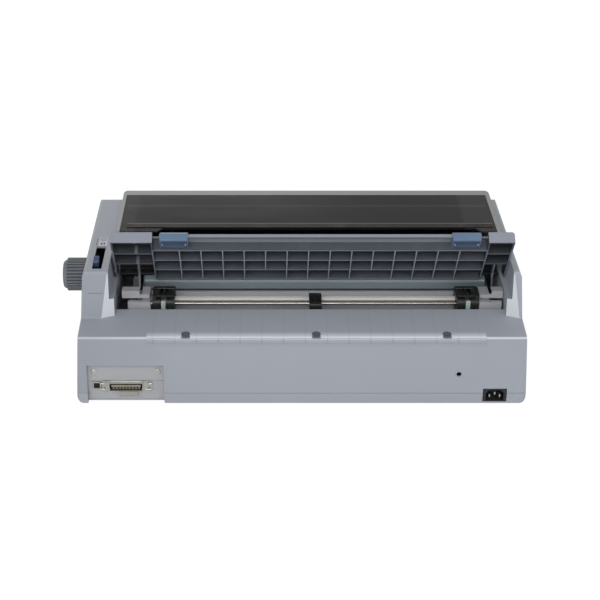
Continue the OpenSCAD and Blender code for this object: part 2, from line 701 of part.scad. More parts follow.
// the round rods of tractors and carriage, fixed in the side frames
module fixed_shafts() color([0.8, 0.79, 0.76]) {
    bar_x(frame_x0 - 3, frame_x1 + 3, support_y, support_h, support_d / 2);
    bar_x(frame_x0 - 2, frame_x1 + 2, rail_y, rail_z, rail_d / 2);
}

// grey end blocks that hold the tractor shafts, with a guard over the tractor gear
module shaft_brackets() color([0.67, 0.67, 0.68]) difference() {
    for (s = [-1, 1]) translate([path_x, 0, 0]) mirror([s < 0 ? 1 : 0, 0, 0]) {
        block_x0 = frame_w / 2 - frame_t - (s > 0 ? 11 : 13.2);
        step_x1 = frame_w / 2 + (s > 0 ? 16.6 : 14);
        along_x(block_x0, frame_w / 2 - frame_t) polygon(rounded([
            [drive_y - 9, drive_h - 9, 3], [support_y + 8.6, drive_h - 9, 3], [support_y + 8.6, support_h + 5.8, 1],
            [support_y + 0.4, support_h + 5.8, 0], [support_y + 0.4, support_h + 2.2, 0],
            [support_y - 1.6, support_h + 2.2, 0], [support_y - 1.6, support_h + 14, 2],
            [drive_y - 6, support_h + 14, 3], [drive_y - 9, support_h + 10, 2]]));
        // low step that runs through the side frame
        box([block_x0 - 1, support_y + 2.4, support_h - 11], [step_x1, support_y + 9, support_h + 6]);
        // bridge over the frame's top edge, and the guard
        box([block_x0 + 0.5, support_y - 3, support_h + 8.8], [frame_w / 2 + 1, support_y + 1.4, support_h + 13.9]);
        along_x(frame_w / 2 + 0.5, frame_w / 2 + (s > 0 ? 25 : 16)) polygon([
            [drive_y + 7, support_h + 18], [support_y, support_h + 18], [support_y, support_h + 8.6],
            [support_y + 1.5, support_h + 8.6], [support_y + 1.5, support_h + 19.6], [drive_y + 7, support_h + 19.6]]);
    }
    bar_x(-case_w / 2, case_w / 2, drive_y, drive_h, drive_w * 0.7072 + gap);
    bar_x(-case_w / 2, case_w / 2, support_y, support_h, support_d / 2 + 0.02);
    bar_x(frame_x0 - 3.2, frame_x0 + 1, support_y, support_h, support_d / 2 + 0.3);
    // slots for the side frames
    for (x = [frame_x0, frame_x1 - frame_t])
        box([x - 0.02, support_y + 2, support_h - 12], [x + frame_t + 0.02, support_y + 8.02, support_h + 7.02]);
}
function ring_part(r0, r1, a0, a1, n) = concat(
    [for (k = [0:n]) [r1 * cos(a0 + (a1 - a0) * k / n), r1 * sin(a0 + (a1 - a0) * k / n)]],
    [for (k = [n:-1:0]) [r0 * cos(a0 + (a1 - a0) * k / n), r0 * sin(a0 + (a1 - a0) * k / n)]]);

inner_x0 = frame_x0 + frame_t + gap;
inner_x1 = frame_x1 - frame_t - gap;

module paper_pan() color([0.55, 0.56, 0.57])
    translate([0, platen_y, platen_h]) along_x(inner_x0, inner_x1)
        polygon(ring_part(platen_d / 2 + 1.6, platen_d / 2 + 2.8, 196, 336, 14));

// lower guide that leads the paper from the tractors to the platen and floors the well
module lower_entry_guide() color([0.7, 0.71, 0.72]) along_x(inner_x0, inner_x1) polygon([
    [entry_y - 17, drive_h - 9], [entry_y - 3, drive_h - 5], [entry_y + 2, drive_h - 5],
    [entry_y + 9, drive_h - 10], [entry_y + 12, pan_z], [deck_y - 2, pan_z], [deck_y - 2, pan_z - 1.4],
    [entry_y + 11, pan_z - 1.4], [entry_y + 7.8, drive_h - 11], [entry_y + 1.4, drive_h - 6.4],
    [entry_y - 2.8, drive_h - 6.4], [entry_y - 17, drive_h - 10.4]]);

module upper_entry_guide() color([0.33, 0.38, 0.38]) difference() {
    along_x(inner_x0, inner_x1) polygon(rounded([
        [entry_y + 1, table_z - 13, 0], [entry_y + 2.4, table_z - 13.6, 0], [entry_y + 10.6, table_z + 4.6, 2],
        [entry_y - 2, table_z + 6.7, 0], [entry_y - 2.2, table_z + 5.2, 0], [entry_y + 8.4, table_z + 3.4, 1]]));
    for (s = [-1, 1], d = [178, 205]) box([path_x + s * d - 5.5, entry_y + 8, table_z + 0.4],
                                          [path_x + s * d + 5.5, entry_y + 13, table_z + 2.4]);
}

// beam behind the paper slot, with the curved fins that turn the paper up
module exit_guide() color([0.2, 0.2, 0.21]) {
    along_x(well_x0 + gap, well_x1 - gap) polygon(rounded([
        [exit_y, platen_h + 18, 2], [exit_y + 17, platen_h + 18, 1], [exit_y + 17, platen_h + 21, 1],
        [exit_y + 3, platen_h + 21, 1], [exit_y + 3, cover_h - 9.5, 2], [exit_y + 17, cover_h - 9.5, 1],
        [exit_y + 17, cover_h - 6.5, 1], [exit_y, cover_h - 6.5, 2]]));
    for (k = [-7:7]) translate([path_x + 1 + k * rib_pitch, 0, 0]) along_x(-0.7, 0.7) polygon(concat(
        [[exit_y + 1, platen_h + 30], [exit_y + 1, cover_h - 12.5]],
        [for (a = [90:15:180]) [exit_y - 2 + 17 * cos(a), cover_h - 25.5 + 17 * sin(a)]],
        [[exit_y - 8, platen_h + 30]]));
}

module ribbon_cartridge() color([0.14, 0.14, 0.15]) {
    along_z(cartridge_z, cartridge_z + 15) round_rect(frame_x0 - 1, frame_y0, frame_x1 + 1, platen_y - 86.4, 5);
    for (s = [-1, 1]) along_x(path_x + s * (frame_w / 2 - 9) - 4, path_x + s * (frame_w / 2 - 9) + 4) polygon(rounded([
        [platen_y - 88.4, cartridge_z + 1, 0], [tip_y - 6, cartridge_z - 2, 3], [tip_y, cartridge_z, 2],
        [tip_y, cartridge_z + 10, 2], [tip_y - 6, cartridge_z + 12, 3], [platen_y - 88.4, cartridge_z + 14, 0]]));
    // inked ribbon between the two arms
    box([path_x - frame_w / 2 + 10, tip_y - 0.9, cartridge_z], [path_x + frame_w / 2 - 10, tip_y - 0.5, cartridge_z + 10]);
}

module motors() color([0.3, 0.3, 0.32]) {
    bar_x(frame_x1 - frame_t - 24, frame_x1 - frame_t, pinion_y, pinion_z, 17);
    translate([pulley_x1, pulley_y + 9, pulley_z]) rotate([-90, 0, 0]) cylinder(r = 16, h = 24);
    box([pulley_x1 - 10, pulley_y + 12, floor_z + chassis_t], [pulley_x1 + 10, pulley_y + 30, pulley_z - 14]);
}

// toothed belt that pulls the carriage
module carriage_belt() color([0.1, 0.1, 0.1]) translate([0, pulley_y, pulley_z]) rotate([90, 0, 0])
    linear_extrude(5, center = true) difference() {
        belt_loop(pulley_r + 1.4);
        belt_loop(pulley_r + 0.3);
    }
module belt_loop(r) {
    for (x = [pulley_x0, pulley_x1]) translate([x, 0]) circle(r);
    translate([pulley_x0, -r]) square([pulley_x1 - pulley_x0, 2 * r]);
}

module belt_pulley(x) color([0.85, 0.85, 0.8]) translate([x, pulley_y, pulley_z]) rotate([90, 0, 0]) {
    cylinder(r = pulley_r, h = 6, center = true);
    for (z = [-4.2, 3]) translate([0, 0, z]) cylinder(r = pulley_r + 2.4, h = 1.2);
    translate([0, 0, -8.7]) cylinder(r = 2, h = 14);
}
module left_belt_pulley() belt_pulley(pulley_x1);
module right_belt_pulley() belt_pulley(pulley_x0);

// post that carries the right belt pulley
module pulley_post() difference() {
    along_y(pulley_y + 5, pulley_y + 12) polygon(rounded([
        [pulley_x0 - 9, frame_z - 1, 0], [pulley_x0 + 9, frame_z - 1, 0], [pulley_x0 + 6, pulley_z + 7, 5],
        [pulley_x0 - 6, pulley_z + 7, 5]]));
    translate([pulley_x0, pulley_y, pulley_z]) rotate([-90, 0, 0]) cylinder(r = 2 + running, h = 20);
}

// ---- rollers and gears ----

// spur gear outline, tooth 0 on the first axis
function gear_outline(n, m) = let (r = n * m / 2, p = 360 / n) [for (k = [0:n - 1])
    each [for (t = [[-0.30, -1.2], [-0.21, -0.1], [-0.095, 0.85], [0.095, 0.85], [0.21, -0.1], [0.30, -1.2]])
        (r + t[1] * m) * [cos((k + t[0]) * p), sin((k + t[0]) * p)]]];

// turn of gear b so that it meshes with gear a, turned by ra, in direction phi
function mesh_turn(phi, a, ra, b) = phi + 180 - (0.5 - (phi - ra) * a / 360) * 360 / b;

module gear(n, turn, bore) difference() {
    along_x(gear_x0, gear_x1) rotate(turn) polygon(gear_outline(n, gear_m));
    bar_x(gear_x0 - 1, gear_x1 + 1, 0, 0, bore);
}

module platen_roller() color([0.13, 0.13, 0.14]) difference() {
    bar_x(path_x - platen_l / 2, path_x + platen_l / 2, platen_y, platen_h, platen_d / 2);
    bar_x(path_x - platen_l / 2 - 1, path_x + platen_l / 2 + 1, platen_y, platen_h, platen_shaft_d / 2 + 0.02);
}
module platen_shaft() color([0.8, 0.8, 0.8])
    bar_x(frame_x0 - 5, knob_x0 + knob_l - 8, platen_y, platen_h, platen_shaft_d / 2);
module platen_gear() color([0.9, 0.9, 0.86]) translate([0, platen_y, platen_h])
    gear(platen_teeth, platen_turn, platen_shaft_d / 2 + 0.02);
module idler_gear() color([0.9, 0.9, 0.86]) translate([0, idler_y, idler_z])
    gear(idler_teeth, idler_turn, 3 + running);
module tractor_gear() color([0.9, 0.9, 0.86]) translate([0, drive_y, drive_h])
    gear(tractor_teeth, mesh_turn(idler_to_drive, idler_teeth, idler_turn, tractor_teeth), drive_w / 2 - 0.08);
module motor_pinion() color([0.85, 0.7, 0.4]) translate([0, pinion_y, pinion_z]) {
    gear(pinion_teeth, mesh_turn(idler_to_pinion, idler_teeth, idler_turn, pinion_teeth), 1.9);
    bar_x(frame_x1 - frame_t + gap, gear_x1 + 1, 0, 0, 2);
}

module paper_feed_knob() color([0.4, 0.4, 0.42]) translate([knob_x0, platen_y, platen_h]) difference() {
    rotate([0, 90, 0]) union() {
        translate([0, 0, 4]) linear_extrude(knob_l - 10) polygon([for (k = [0:119])
            (knob_d / 2 - (k % 4 < 2 ? 0 : 1.1)) * [cos(k * 3), sin(k * 3)]]);
        rotate_extrude() polygon(rounded([
            [0, 0, 0], [knob_d / 2 - 4, 0, 2], [knob_d / 2 - 1.6, 5, 1], [knob_d / 2 - 1.6, knob_l - 7, 2],
            [knob_d / 2 - 5, knob_l, 4], [0, knob_l, 0]]));
    }
    rotate([0, 90, 0]) translate([0, 0, -1]) cylinder(r = platen_shaft_d / 2 + 0.02, h = knob_l - 7);
    rotate([0, 90, 0]) translate([0, 0, knob_l - 1.6]) cylinder(r = knob_d / 2 - 11, h = 3);
}

module drive_shaft() color([0.84, 0.83, 0.78]) {
    box([inner_x0, drive_y - drive_w / 2, drive_h - drive_w / 2], [inner_x1, drive_y + drive_w / 2, drive_h + drive_w / 2]);
    bar_x(frame_x0 - 2, gear_x1 + 2, drive_y, drive_h, drive_w / 2 - 0.1);
}

// ---- tractors ----

// one tractor about x = 0; s is +1 for the left one, whose outer side faces +X
module tractor_case(s) color([0.07, 0.07, 0.08]) difference() {
    union() {
        along_x(-tractor_w / 2, tractor_w / 2) polygon(rounded([
            [drive_y - 17, drive_h - 14, 7], [support_y + 9, support_h - 15, 7], [support_y + 9, table_z, 6],
            [drive_y - 17, table_z, 7]]));
        // hood over the front of the wheel
        along_x(-tractor_w / 2, tractor_w / 2) polygon(rounded([
            [drive_y - 16, table_z - 4, 0], [drive_y - 3.5, table_z - 4, 0], [drive_y - 3.5, table_z + 4, 2],
            [drive_y - 13, table_z + 2, 3]]));
        for (y = flap_ears) box([s > 0 ? flap_dx - 2 : -flap_dx - 3, y, table_z - 1],
                                [s > 0 ? flap_dx + 3 : -flap_dx + 2, y + 3, flap_z + 2.4]);
    }
    along_x(-tractor_w / 2 + 3, tractor_w / 2 - 3) polygon(rounded([
        [drive_y - 15.4, drive_h - 20, 0], [drive_y + 13.6, drive_h - 20, 0], [drive_y + 13.6, table_z - 2, 2],
        [drive_y + 2, table_z - 2, 2], [drive_y + 2, table_z - 2.2, 0], [drive_y - 10, table_z - 2.2, 3],
        [drive_y - 15.4, drive_h + 4, 3]]));
    box([-5.5, drive_y - 12.5, table_z - 3], [5.5, drive_y + 13.6, table_z + 1.6]);
    box([-5.5, drive_y - 3.6, table_z - 3], [5.5, drive_y + 13.6, table_z + 9]);
    bar_x(-tractor_w, tractor_w, drive_y, drive_h, 7.5 + running);
    bar_x(-tractor_w, tractor_w, support_y, support_h, support_d / 2 + running);
    bar_x(-5.5, 5.5, drive_y, drive_h, sprocket_r + 2.5);
    box([-4, support_y - 8, support_h - 20], [4, support_y + 12, support_h + 20]);
    for (y = flap_ears) translate([s * flap_dx, y - 1, flap_z]) rotate([-90, 0, 0])
        cylinder(r = 1 + running, h = 6);
}

module tractor_wheel() color([0.2, 0.2, 0.22]) difference() {
    translate([0, drive_y, drive_h]) rotate([0, 90, 0]) {
        cylinder(r = 7.5, h = tractor_w - 0.6, center = true);
        cylinder(r = sprocket_r - 1.1, h = 8, center = true);
        for (k = [0:tractor_pins - 1]) rotate([0, 0, k * 360 / tractor_pins + 30])
            translate([sprocket_r - 2, 0, 0]) rotate([0, 90, 0]) cylinder(r1 = 2, r2 = 1.1, h = 4, $fn = 20);
    }
    box([-tractor_w, drive_y - drive_w / 2 - 0.12, drive_h - drive_w / 2 - 0.12],
        [tractor_w, drive_y + drive_w / 2 + 0.12, drive_h + drive_w / 2 + 0.12]);
}

// flap that holds the paper down on the pins
module tractor_flap(s) color([0.09, 0.09, 0.1]) difference() {
    union() {
        box([s > 0 ? -tractor_w / 2 + 1 : -flap_dx, flap_ears[0] + 3.3, flap_z - 1],
            [s > 0 ? flap_dx : tractor_w / 2 - 1, flap_ears[1] - 0.3, flap_z + 1.4]);
        translate([s * flap_dx, flap_ears[0] + 3.3, flap_z]) rotate([-90, 0, 0])
            cylinder(r = 2, h = flap_ears[1] - flap_ears[0] - 3.6);
        translate([s * flap_dx, flap_ears[0] + 0.4, flap_z]) rotate([-90, 0, 0])
            cylinder(r = 1, h = flap_ears[1] - flap_ears[0] + 2.2);
    }
    box([-5, 0, flap_z - 3], [5, flap_ears[1] - 3, flap_z + 5]);
}

// clamp on the support shaft with an upright thumb paddle
module tractor_lock() color([0.62, 0.67, 0.62]) translate([0, support_y, support_h]) difference() {
    union() {
        bar_x(-3.6, 3.6, 0, 0, 4.6);
        along_x(-3, 3) polygon([[1, -4], [6.4, -7], [8, -6.8], [9, -5.4], [9, 5.6], [8, 7], [6.6, 6.8], [1, 4]]);
    }
    bar_x(-5, 5, 0, 0, support_d / 2 + running);
}

module left_tractor_case() at_tractor(1) tractor_case(1);
module left_tractor_wheel() at_tractor(1) tractor_wheel();
module left_tractor_flap() at_tractor(1) tractor_flap(1);
module left_tractor_lock() at_tractor(1) tractor_lock();
module right_tractor_case() at_tractor(-1) tractor_case(-1);
module right_tractor_wheel() at_tractor(-1) tractor_wheel();
module right_tractor_flap() at_tractor(-1) tractor_flap(-1);
module right_tractor_lock() at_tractor(-1) tractor_lock();
module at_tractor(s) translate([path_x + s * tractor_span / 2, 0, 0]) children();

// sliding support under the middle of the paper
module paper_support() color([0.09, 0.09, 0.1]) difference() {
    along_x(path_x - 8.5, path_x + 8.5) polygon(rounded([
        [drive_y - 9, drive_h - 7, 3], [support_y + 9, support_h - 8, 3], [support_y + 9, support_h + 3, 3],
        [drive_y + 4, drive_h + 9, 5], [drive_y - 9, drive_h + 6, 4]]));
    bar_x(path_x - 9, path_x + 9, drive_y, drive_h, drive_w * 0.7072 + gap);
    bar_x(path_x - 9, path_x + 9, support_y, support_h, support_d / 2 + running);
    for (s = [-1, 1]) box([path_x + s * 4.5 - 2, drive_y + 6, support_h + 1], [path_x + s * 4.5 + 2, support_y + 5, 130]);
}

// ---- print head ----

module print_carriage() color([0.16, 0.16, 0.17]) translate([carriage_x, 0, 0]) difference() {
    union() {
        along_x(-26, 26) polygon(rounded([
            [rail_y - 10, rail_z - 9, 3], [rail_y + 24, rail_z - 9, 3], [rail_y + 24, rail_z + 1, 2],
            [rail_y + 12, rail_z + 11, 3], [rail_y - 10, rail_z + 11, 3]]));
        box([-8, pulley_y - 2.6, pulley_z + pulley_r + 1.7], [8, rail_y - 9, rail_z + 6]);
    }
    bar_x(-30, 30, rail_y, rail_z, rail_d / 2 + running);
}
module print_head() color([0.25, 0.25, 0.27]) translate([carriage_x, 0, 0]) {
    box([-17, head_y - 16, rail_z + 11], [17, head_y + 16, platen_h + 9]);
    for (k = [0:5]) box([-21, head_y - 14 + k * 5, rail_z + 14], [21, head_y - 11.8 + k * 5, platen_h + 7]);
    translate([0, tip_y - 1.4, platen_h]) rotate([90, 0, 0]) cylinder(r1 = 4, r2 = 9, h = 20);
}

module release_lever() color([0.2, 0.26, 0.36]) difference() {
    translate([lever_x, lever_pivot_y, lever_pivot_z]) rotate([-18, 0, 0]) {
        along_x(-lever_w / 2 + 1.5, lever_w / 2 - 1.5) polygon(rounded([
            [-7, -7, 6], [7, -7, 6], [5, 20, 4], [3.4, 64, 1], [-3.4, 64, 1], [-5, 20, 4]]));
        along_x(-lever_w / 2, lever_w / 2) polygon(rounded([
            [-8, 62, 2], [8, 62, 2], [7, 72, 3], [-3, 74, 3], [-7, 70, 3]]));
        bar_x(-lever_w / 2, lever_w / 2, 0, 0, 7);
    }
    bar_x(lever_x - lever_w, lever_x + lever_w, lever_pivot_y, lever_pivot_z, lever_pin_d / 2 + running);
}

module thickness_lever() color([0.2, 0.3, 0.4]) translate([frame_x0 - 5.5, thick_y, thick_z]) difference() {
    union() {
        bar_x(0, 5, 0, 0, 6);
        rotate([-20, 0, 0]) along_x(0.5, 4.5) polygon(rounded([
            [-4, 0, 0], [4, 0, 0], [3, 30, 1.4], [-3, 30, 1.4]]));
        rotate([-20, 0, 0]) along_x(-2, 5) polygon(rounded([
            [-5, 28, 2], [5, 28, 2], [5, 36, 2], [-5, 36, 2]]));
    }
    bar_x(-2, 7, 0, 0, 2.5 + running);
}

// ---- printer cover ----

module cover_frame() color([0.61, 0.61, 0.61]) {
    difference() {
        union() {
            // top plate with its rounded front edge
            along_x(cover_x0, cover_x1) polygon(rounded([
                [cover_front_y, cover_h - 24, 2], [cover_front_y + cover_t, cover_h - 24, 0],
                [cover_front_y + cover_t, cover_h - cover_t, 6], [cover_back_y, cover_h - cover_t, 0],
                [cover_back_y, cover_h, 2], [cover_front_y, cover_h, 5]]));
            for (x = [cover_x0, cover_x1 - cover_t]) along_x(x, x + cover_t) polygon(rounded([
                [cover_front_y, cover_h - 24, 2], [cover_front_y + 30, cover_h - 10, 8],
                [cover_back_y - 22, cover_h - 10, 6], [cover_back_y - 16, cover_h - 14, 4],
                [cover_back_y, cover_h - 14, 5], [cover_back_y, cover_h, 2], [cover_front_y, cover_h, 5]]));
            // ledge under the edge of the window
            box([cover_x0 + 1, window_y0 - 5, cover_h - window_t - 2.6],
                [window_x0 + 4, cover_back_y - 1, cover_h - window_t]);
            box([window_x1 - 4, window_y0 - 5, cover_h - window_t - 2.6],
                [cover_x1 - 1, cover_back_y - 1, cover_h - window_t]);
            box([cover_x0 + 1, window_y0 - 5, cover_h - window_t - 2.6],
                [cover_x1 - 1, window_y0 + 4, cover_h - window_t]);
        }
        box([window_x0 + 4, window_y0 + 4, cover_h - 20], [window_x1 - 4, cover_back_y + 5, cover_h + 5]);
        box([window_x0 - 0.2, window_y0 - 0.2, cover_h - window_t], [window_x1 + 0.2, cover_back_y + 5, cover_h + 5]);
        // corners rounded in plan
        for (s = [-1, 1]) translate([s > 0 ? cover_x1 : cover_x0, cover_front_y, 0]) mirror([s > 0 ? 0 : 1, 0, 0])
            difference() {
                box([-14, -1, cover_h - 30], [1, 14, cover_h + 5]);
                translate([-14, 14, cover_h - 31]) cylinder(r = 14, h = 40);
            }
    }
    for (x = [cover_x0 - 3.4, cover_x1 - 1]) bar_x(x, x + 4.4, cover_pin_y, cover_pin_z, cover_pin_d / 2);
}

module window_outline(g) polygon(rounded([
    [window_x0 + g, window_y0 + g, 3], [window_x1 - g, window_y0 + g, 3], [window_x1 - g, cover_back_y - 0.4, 2],
    [slot_x1 + 1, cover_back_y - 0.4, 2], [slot_x1 - 6, slot_y0, 3], [slot_x0 + 6, slot_y0, 3],
    [slot_x0 - 1, cover_back_y - 0.4, 2], [window_x0 + g, cover_back_y - 0.4, 2]]));

module cover_window() color([0.25, 0.25, 0.26])
    along_z(cover_h - window_t, cover_h - 0.1) window_outline(0);

// serrated bar that the paper is torn against
module tear_off_bar() color([0.42, 0.38, 0.36]) along_z(cover_h - 0.1, cover_h + 0.9)
    polygon(concat(
        [[slot_x1 + 46, slot_y0 - 15.6], [slot_x1 + 46, slot_y0 - 2], [slot_x1 - 8, slot_y0 - 2]],
        [for (k = [0:teeth_n], t = [0, 1]) [slot_x1 - 8 - (k + t / 2) * (slot_w - 16) / (teeth_n + 0.5),
                                            slot_y0 - (t > 0 ? 0.2 : 1.6)]],
        [[slot_x0 + 8, slot_y0 - 2], [slot_x0 - 20, slot_y0 - 2], [slot_x0 - 20, slot_y0 - 15.6]]));

// ---- paper guide ----

module in_guide() translate([0, pivot_y, pivot_z]) rotate([guide_tilt, 0, 0]) children();

// drawn lying flat about its pivot: +Y towards the free end, +Z up
module paper_guide() color([0.36, 0.39, 0.43]) in_guide() {
    difference() {
        union() {
            // top plate with rounded ends
            along_x(guide_x0, guide_x1) polygon(rounded([
                [guide_u0, guide_v1 - 2, 0], [guide_u1, guide_v1 - 2, 0], [guide_u1, guide_v1, 1.4],
                [guide_u0, guide_v1, 1.4]]));
            // side walls of the two end housings
            for (x = [guide_x0, cell_x0 - 2, cell_x1, guide_x1 - 2.4])
                along_x(x, x + (x == guide_x0 || x == guide_x1 - 2.4 ? 2.4 : 2)) polygon(rounded([
                    [guide_u0, guide_v0, 3], [guide_u1, guide_v0, 2], [guide_u1, guide_v1 - 1, 1],
                    [guide_u0, guide_v1 - 1, 1]]));
            // end faces of the housings
            box([guide_x0, guide_u1 - 2.4, guide_v0], [cell_x0, guide_u1, guide_v1 - 0.5]);
            box([cell_x1, guide_u1 - 2.4, guide_v0], [guide_x1, guide_u1, guide_v1 - 0.5]);
            // ribs in the housings
            for (u = [housing_u, guide_u0 + 2.64 * cell_l]) {
                box([guide_x0 + 1, u, guide_v0 + 0.4], [cell_x0 - 1, u + 1.6, guide_v1 - 1]);
                box([cell_x1 + 1, u, guide_v0 + 0.4], [guide_x1 - 1, u + 1.6, guide_v1 - 1]);
            }
            // grid of stiffening ribs
            for (k = [0:3]) box([cell_x0 - 1, guide_u0 + k * cell_l, guide_v0],
                                [cell_x1 + 1, guide_u0 + k * cell_l + 1.6, guide_v1 - 1]);
            for (k = [0:13]) let (x = path_x - 4 + (k - 6.5) * rib_pitch, first = (k == 4 || k == 9) ? 1 : 0)
                box([x - 0.8, guide_u0 + first * cell_l + 0.5, guide_v0],
                    [x + 0.8, guide_u0 + 3 * cell_l + 0.8, guide_v1 - 1]);
        }
        // the free edge between the housings is lower and thinner
        box([cell_x0, rail_u0, -20], [cell_x1, guide_u1 + 1, 20]);
        // open lower part of the housings
        box([guide_x0 + 2.4, guide_u0 - 1, guide_v1 - 4], [cell_x0 - 2, housing_u, guide_v1 + 1]);
        box([cell_x1 + 2, guide_u0 - 1, guide_v1 - 4], [guide_x1 - 2.4, housing_u, guide_v1 + 1]);
        // lower corners cut away over the ledges
        box([guide_x0 - 1, guide_u0 - 1, guide_v0 - 1], [well_x0 + 1, 0.4, 6]);
        box([well_x1 - 1, guide_u0 - 1, guide_v0 - 1], [guide_x1 + 1, 0.4, 6]);
        // rounded outer edges
        difference() {
            box([guide_x0 - 1, guide_u0 - 1, 0], [guide_x1 + 1, guide_u1 + 1, guide_v1 + 1]);
            along_y(guide_u0 - 2, guide_u1 + 2) polygon(rounded([
                [guide_x0 - 0.02, -1, 0], [guide_x1 + 0.02, -1, 0],
                [guide_x1 + 0.02, guide_v1 + 0.02, 5], [guide_x0 - 0.02, guide_v1 + 0.02, 5]]));
        }
    }
    // curved stays between the housings and the pivots
    for (x = [cell_x0 - 16, cell_x1 + 23]) along_x(x - 1.2, x + 1.2) polygon(rounded([
        [housing_u + 1, guide_v0 + 1, 0], [housing_u + 1, guide_v1 - 3, 0], [housing_u - 8, guide_v1 - 3, 6],
        [5, 1, 14], [-7, -19, 1.5], [-3.4, -21.5, 1.5], [8, -5.5, 12]]));
    // ears round the pivots
    for (x = [guide_x0, guide_x1 - 2.4]) bar_x(x + 0.01, x + 2.39, 0, 0, 3.6);
    // rail that the edge guides run on
    box([cell_x0 + 9, rail_u0 - 1, rail_v0], [cell_x1 - 9, rail_u1, rail_v0 + 2]);
    box([cell_x0 + 9, rail_u1 - 2.4, rail_v0 - 4], [cell_x1 - 9, rail_u1, rail_v0 + 1]);
    bar_x(cell_x0 - 1, cell_x1 + 1, rail_u1 - 1.2, rail_v0 - 2.5, 1.4);
    bar_x(guide_x1 - 1, ledge_x1 + case_wall + 0.7, 0, 0, pivot_d / 2);
    bar_x(ledge_x0 - case_wall - 0.7, guide_x0 + 1, 0, 0, pivot_d / 2);
}

// blue clip that slides along the rail and guides one edge of the paper
module edge_guide(x0) color([0.39, 0.47, 0.58]) in_guide() difference() {
    along_x(x0, x0 + edge_guide_w) polygon(rounded([
        [rail_u0 + 0.6, rail_v0 - 9, 1], [rail_u1 + 3.4, rail_v0 - 9, 1], [rail_u1 + 3.4, rail_v0 + 1.5, 3],
        [rail_u1 - 1, rail_v0 + 5, 2], [rail_u0 + 4, rail_v0 + 5, 1], [rail_u0 + 4, rail_v0, 0],
        [rail_u0 + 0.6, rail_v0 - 1, 0]]));
    along_x(x0 - 1, x0 + edge_guide_w + 1) polygon([
        [rail_u0, rail_v0 - gap], [rail_u1 - 2.4 - 1, rail_v0 - gap], [rail_u1 - 2.4 - 1, rail_v0 - 4 - 0.9],
        [rail_u1 + gap, rail_v0 - 4 - 0.9], [rail_u1 + gap, rail_v0 + 2 + gap], [rail_u0, rail_v0 + 2 + gap]]);
    box([x0 + 4, rail_u0 + 6, rail_v0 - 10], [x0 + edge_guide_w - 4, rail_u1 - 3, rail_v0 - 8]);
}
module left_edge_guide() edge_guide(cell_x1 - 10 - edge_guide_w);
module right_edge_guide() edge_guide(cell_x0 + 10);

// ---- front controls ----

module on_slope(x, s) translate([x, front_y + s * slope_u[0], front_h + s * slope_u[1]])
    rotate([atan2(slope_u[1], slope_u[0]), 0, 0]) children();

module control_panel() color([0.5, 0.5, 0.52]) on_slope(panel_x, panel_s) difference() {
    union() {
        linear_extrude(1.4) round_rect(-panel_w / 2, -panel_l / 2, panel_w / 2, panel_l / 2, 5);
        translate([-panel_w / 2 + 4.4, -panel_l / 2 + 4.4, -7]) difference() {
            cube([panel_w - 8.8, panel_l - 8.8, 7.5]);
            translate([1.5, 1.5, 1.5]) cube([panel_w - 11.8, panel_l - 11.8, 6]);
        }
        for (k = [0:4]) translate([-panel_w / 2 + 14 + k * 7, panel_l / 2 - 9, 0]) cylinder(r = 1.6, h = 1.9);
    }
    for (k = [0:3]) translate([button_x(k), -4, -0.5])
        linear_extrude(3) round_rect(-button_w / 2 - gap, -5 - gap, button_w / 2 + gap, 5 + gap, 4);
}
function button_x(k) = -panel_w / 2 + 24 + k * 34;

module panel_button(k) color([0.75, 0.76, 0.78]) on_slope(panel_x, panel_s) translate([button_x(k), -4, 0]) {
    translate([0, 0, -3.6]) linear_extrude(6.6) round_rect(-button_w / 2, -5, button_w / 2, 5, 4);
    translate([-button_w / 2 - 1.5, -6.5, -2.4]) cube([button_w + 3, 13, 2.1]);
}
module pause_button() panel_button(0);
module feed_button() panel_button(1);
module load_button() panel_button(2);
module font_button() panel_button(3);

module power_switch() color([0.12, 0.12, 0.13]) translate([switch_x, front_y + 9, switch_z]) {
    rotate([7, 0, 0]) along_x(-switch_w / 2 + 0.4, switch_w / 2 - 0.4) polygon(rounded([
        [-10.5, -switch_h / 2 + 1.6, 1], [3, -6, 2], [3, 6, 2], [-10.5, switch_h / 2 - 1.6, 1], [-8.6, 0, 12]]));
    bar_x(-switch_w / 2 - 3, switch_w / 2 + 3, 0, 0, 2);
}

lower_case();
rubber_feet();
upper_case();
slot_cover();
slot_cover_screws();
socket_panel();
usb_socket();
parallel_socket();
left_wire_bail();
right_wire_bail();
ac_inlet();
main_board();
power_supply();
chassis_plate();
left_side_frame();
right_side_frame();
fixed_shafts();
shaft_brackets();
paper_pan();
lower_entry_guide();
upper_entry_guide();
exit_guide();
ribbon_cartridge();
motors();
carriage_belt();
left_belt_pulley();
right_belt_pulley();
platen_roller();
platen_shaft();
platen_gear();
idler_gear();
tractor_gear();
motor_pinion();
paper_feed_knob();
drive_shaft();
left_tractor_case();
left_tractor_wheel();
left_tractor_flap();
left_tractor_lock();
right_tractor_case();
right_tractor_wheel();
right_tractor_flap();
right_tractor_lock();
paper_support();
print_carriage();
print_head();
release_lever();
thickness_lever();
cover_frame();
cover_window();
tear_off_bar();
paper_guide();
left_edge_guide();
right_edge_guide();
control_panel();
pause_button();
feed_button();
load_button();
font_button();
power_switch();
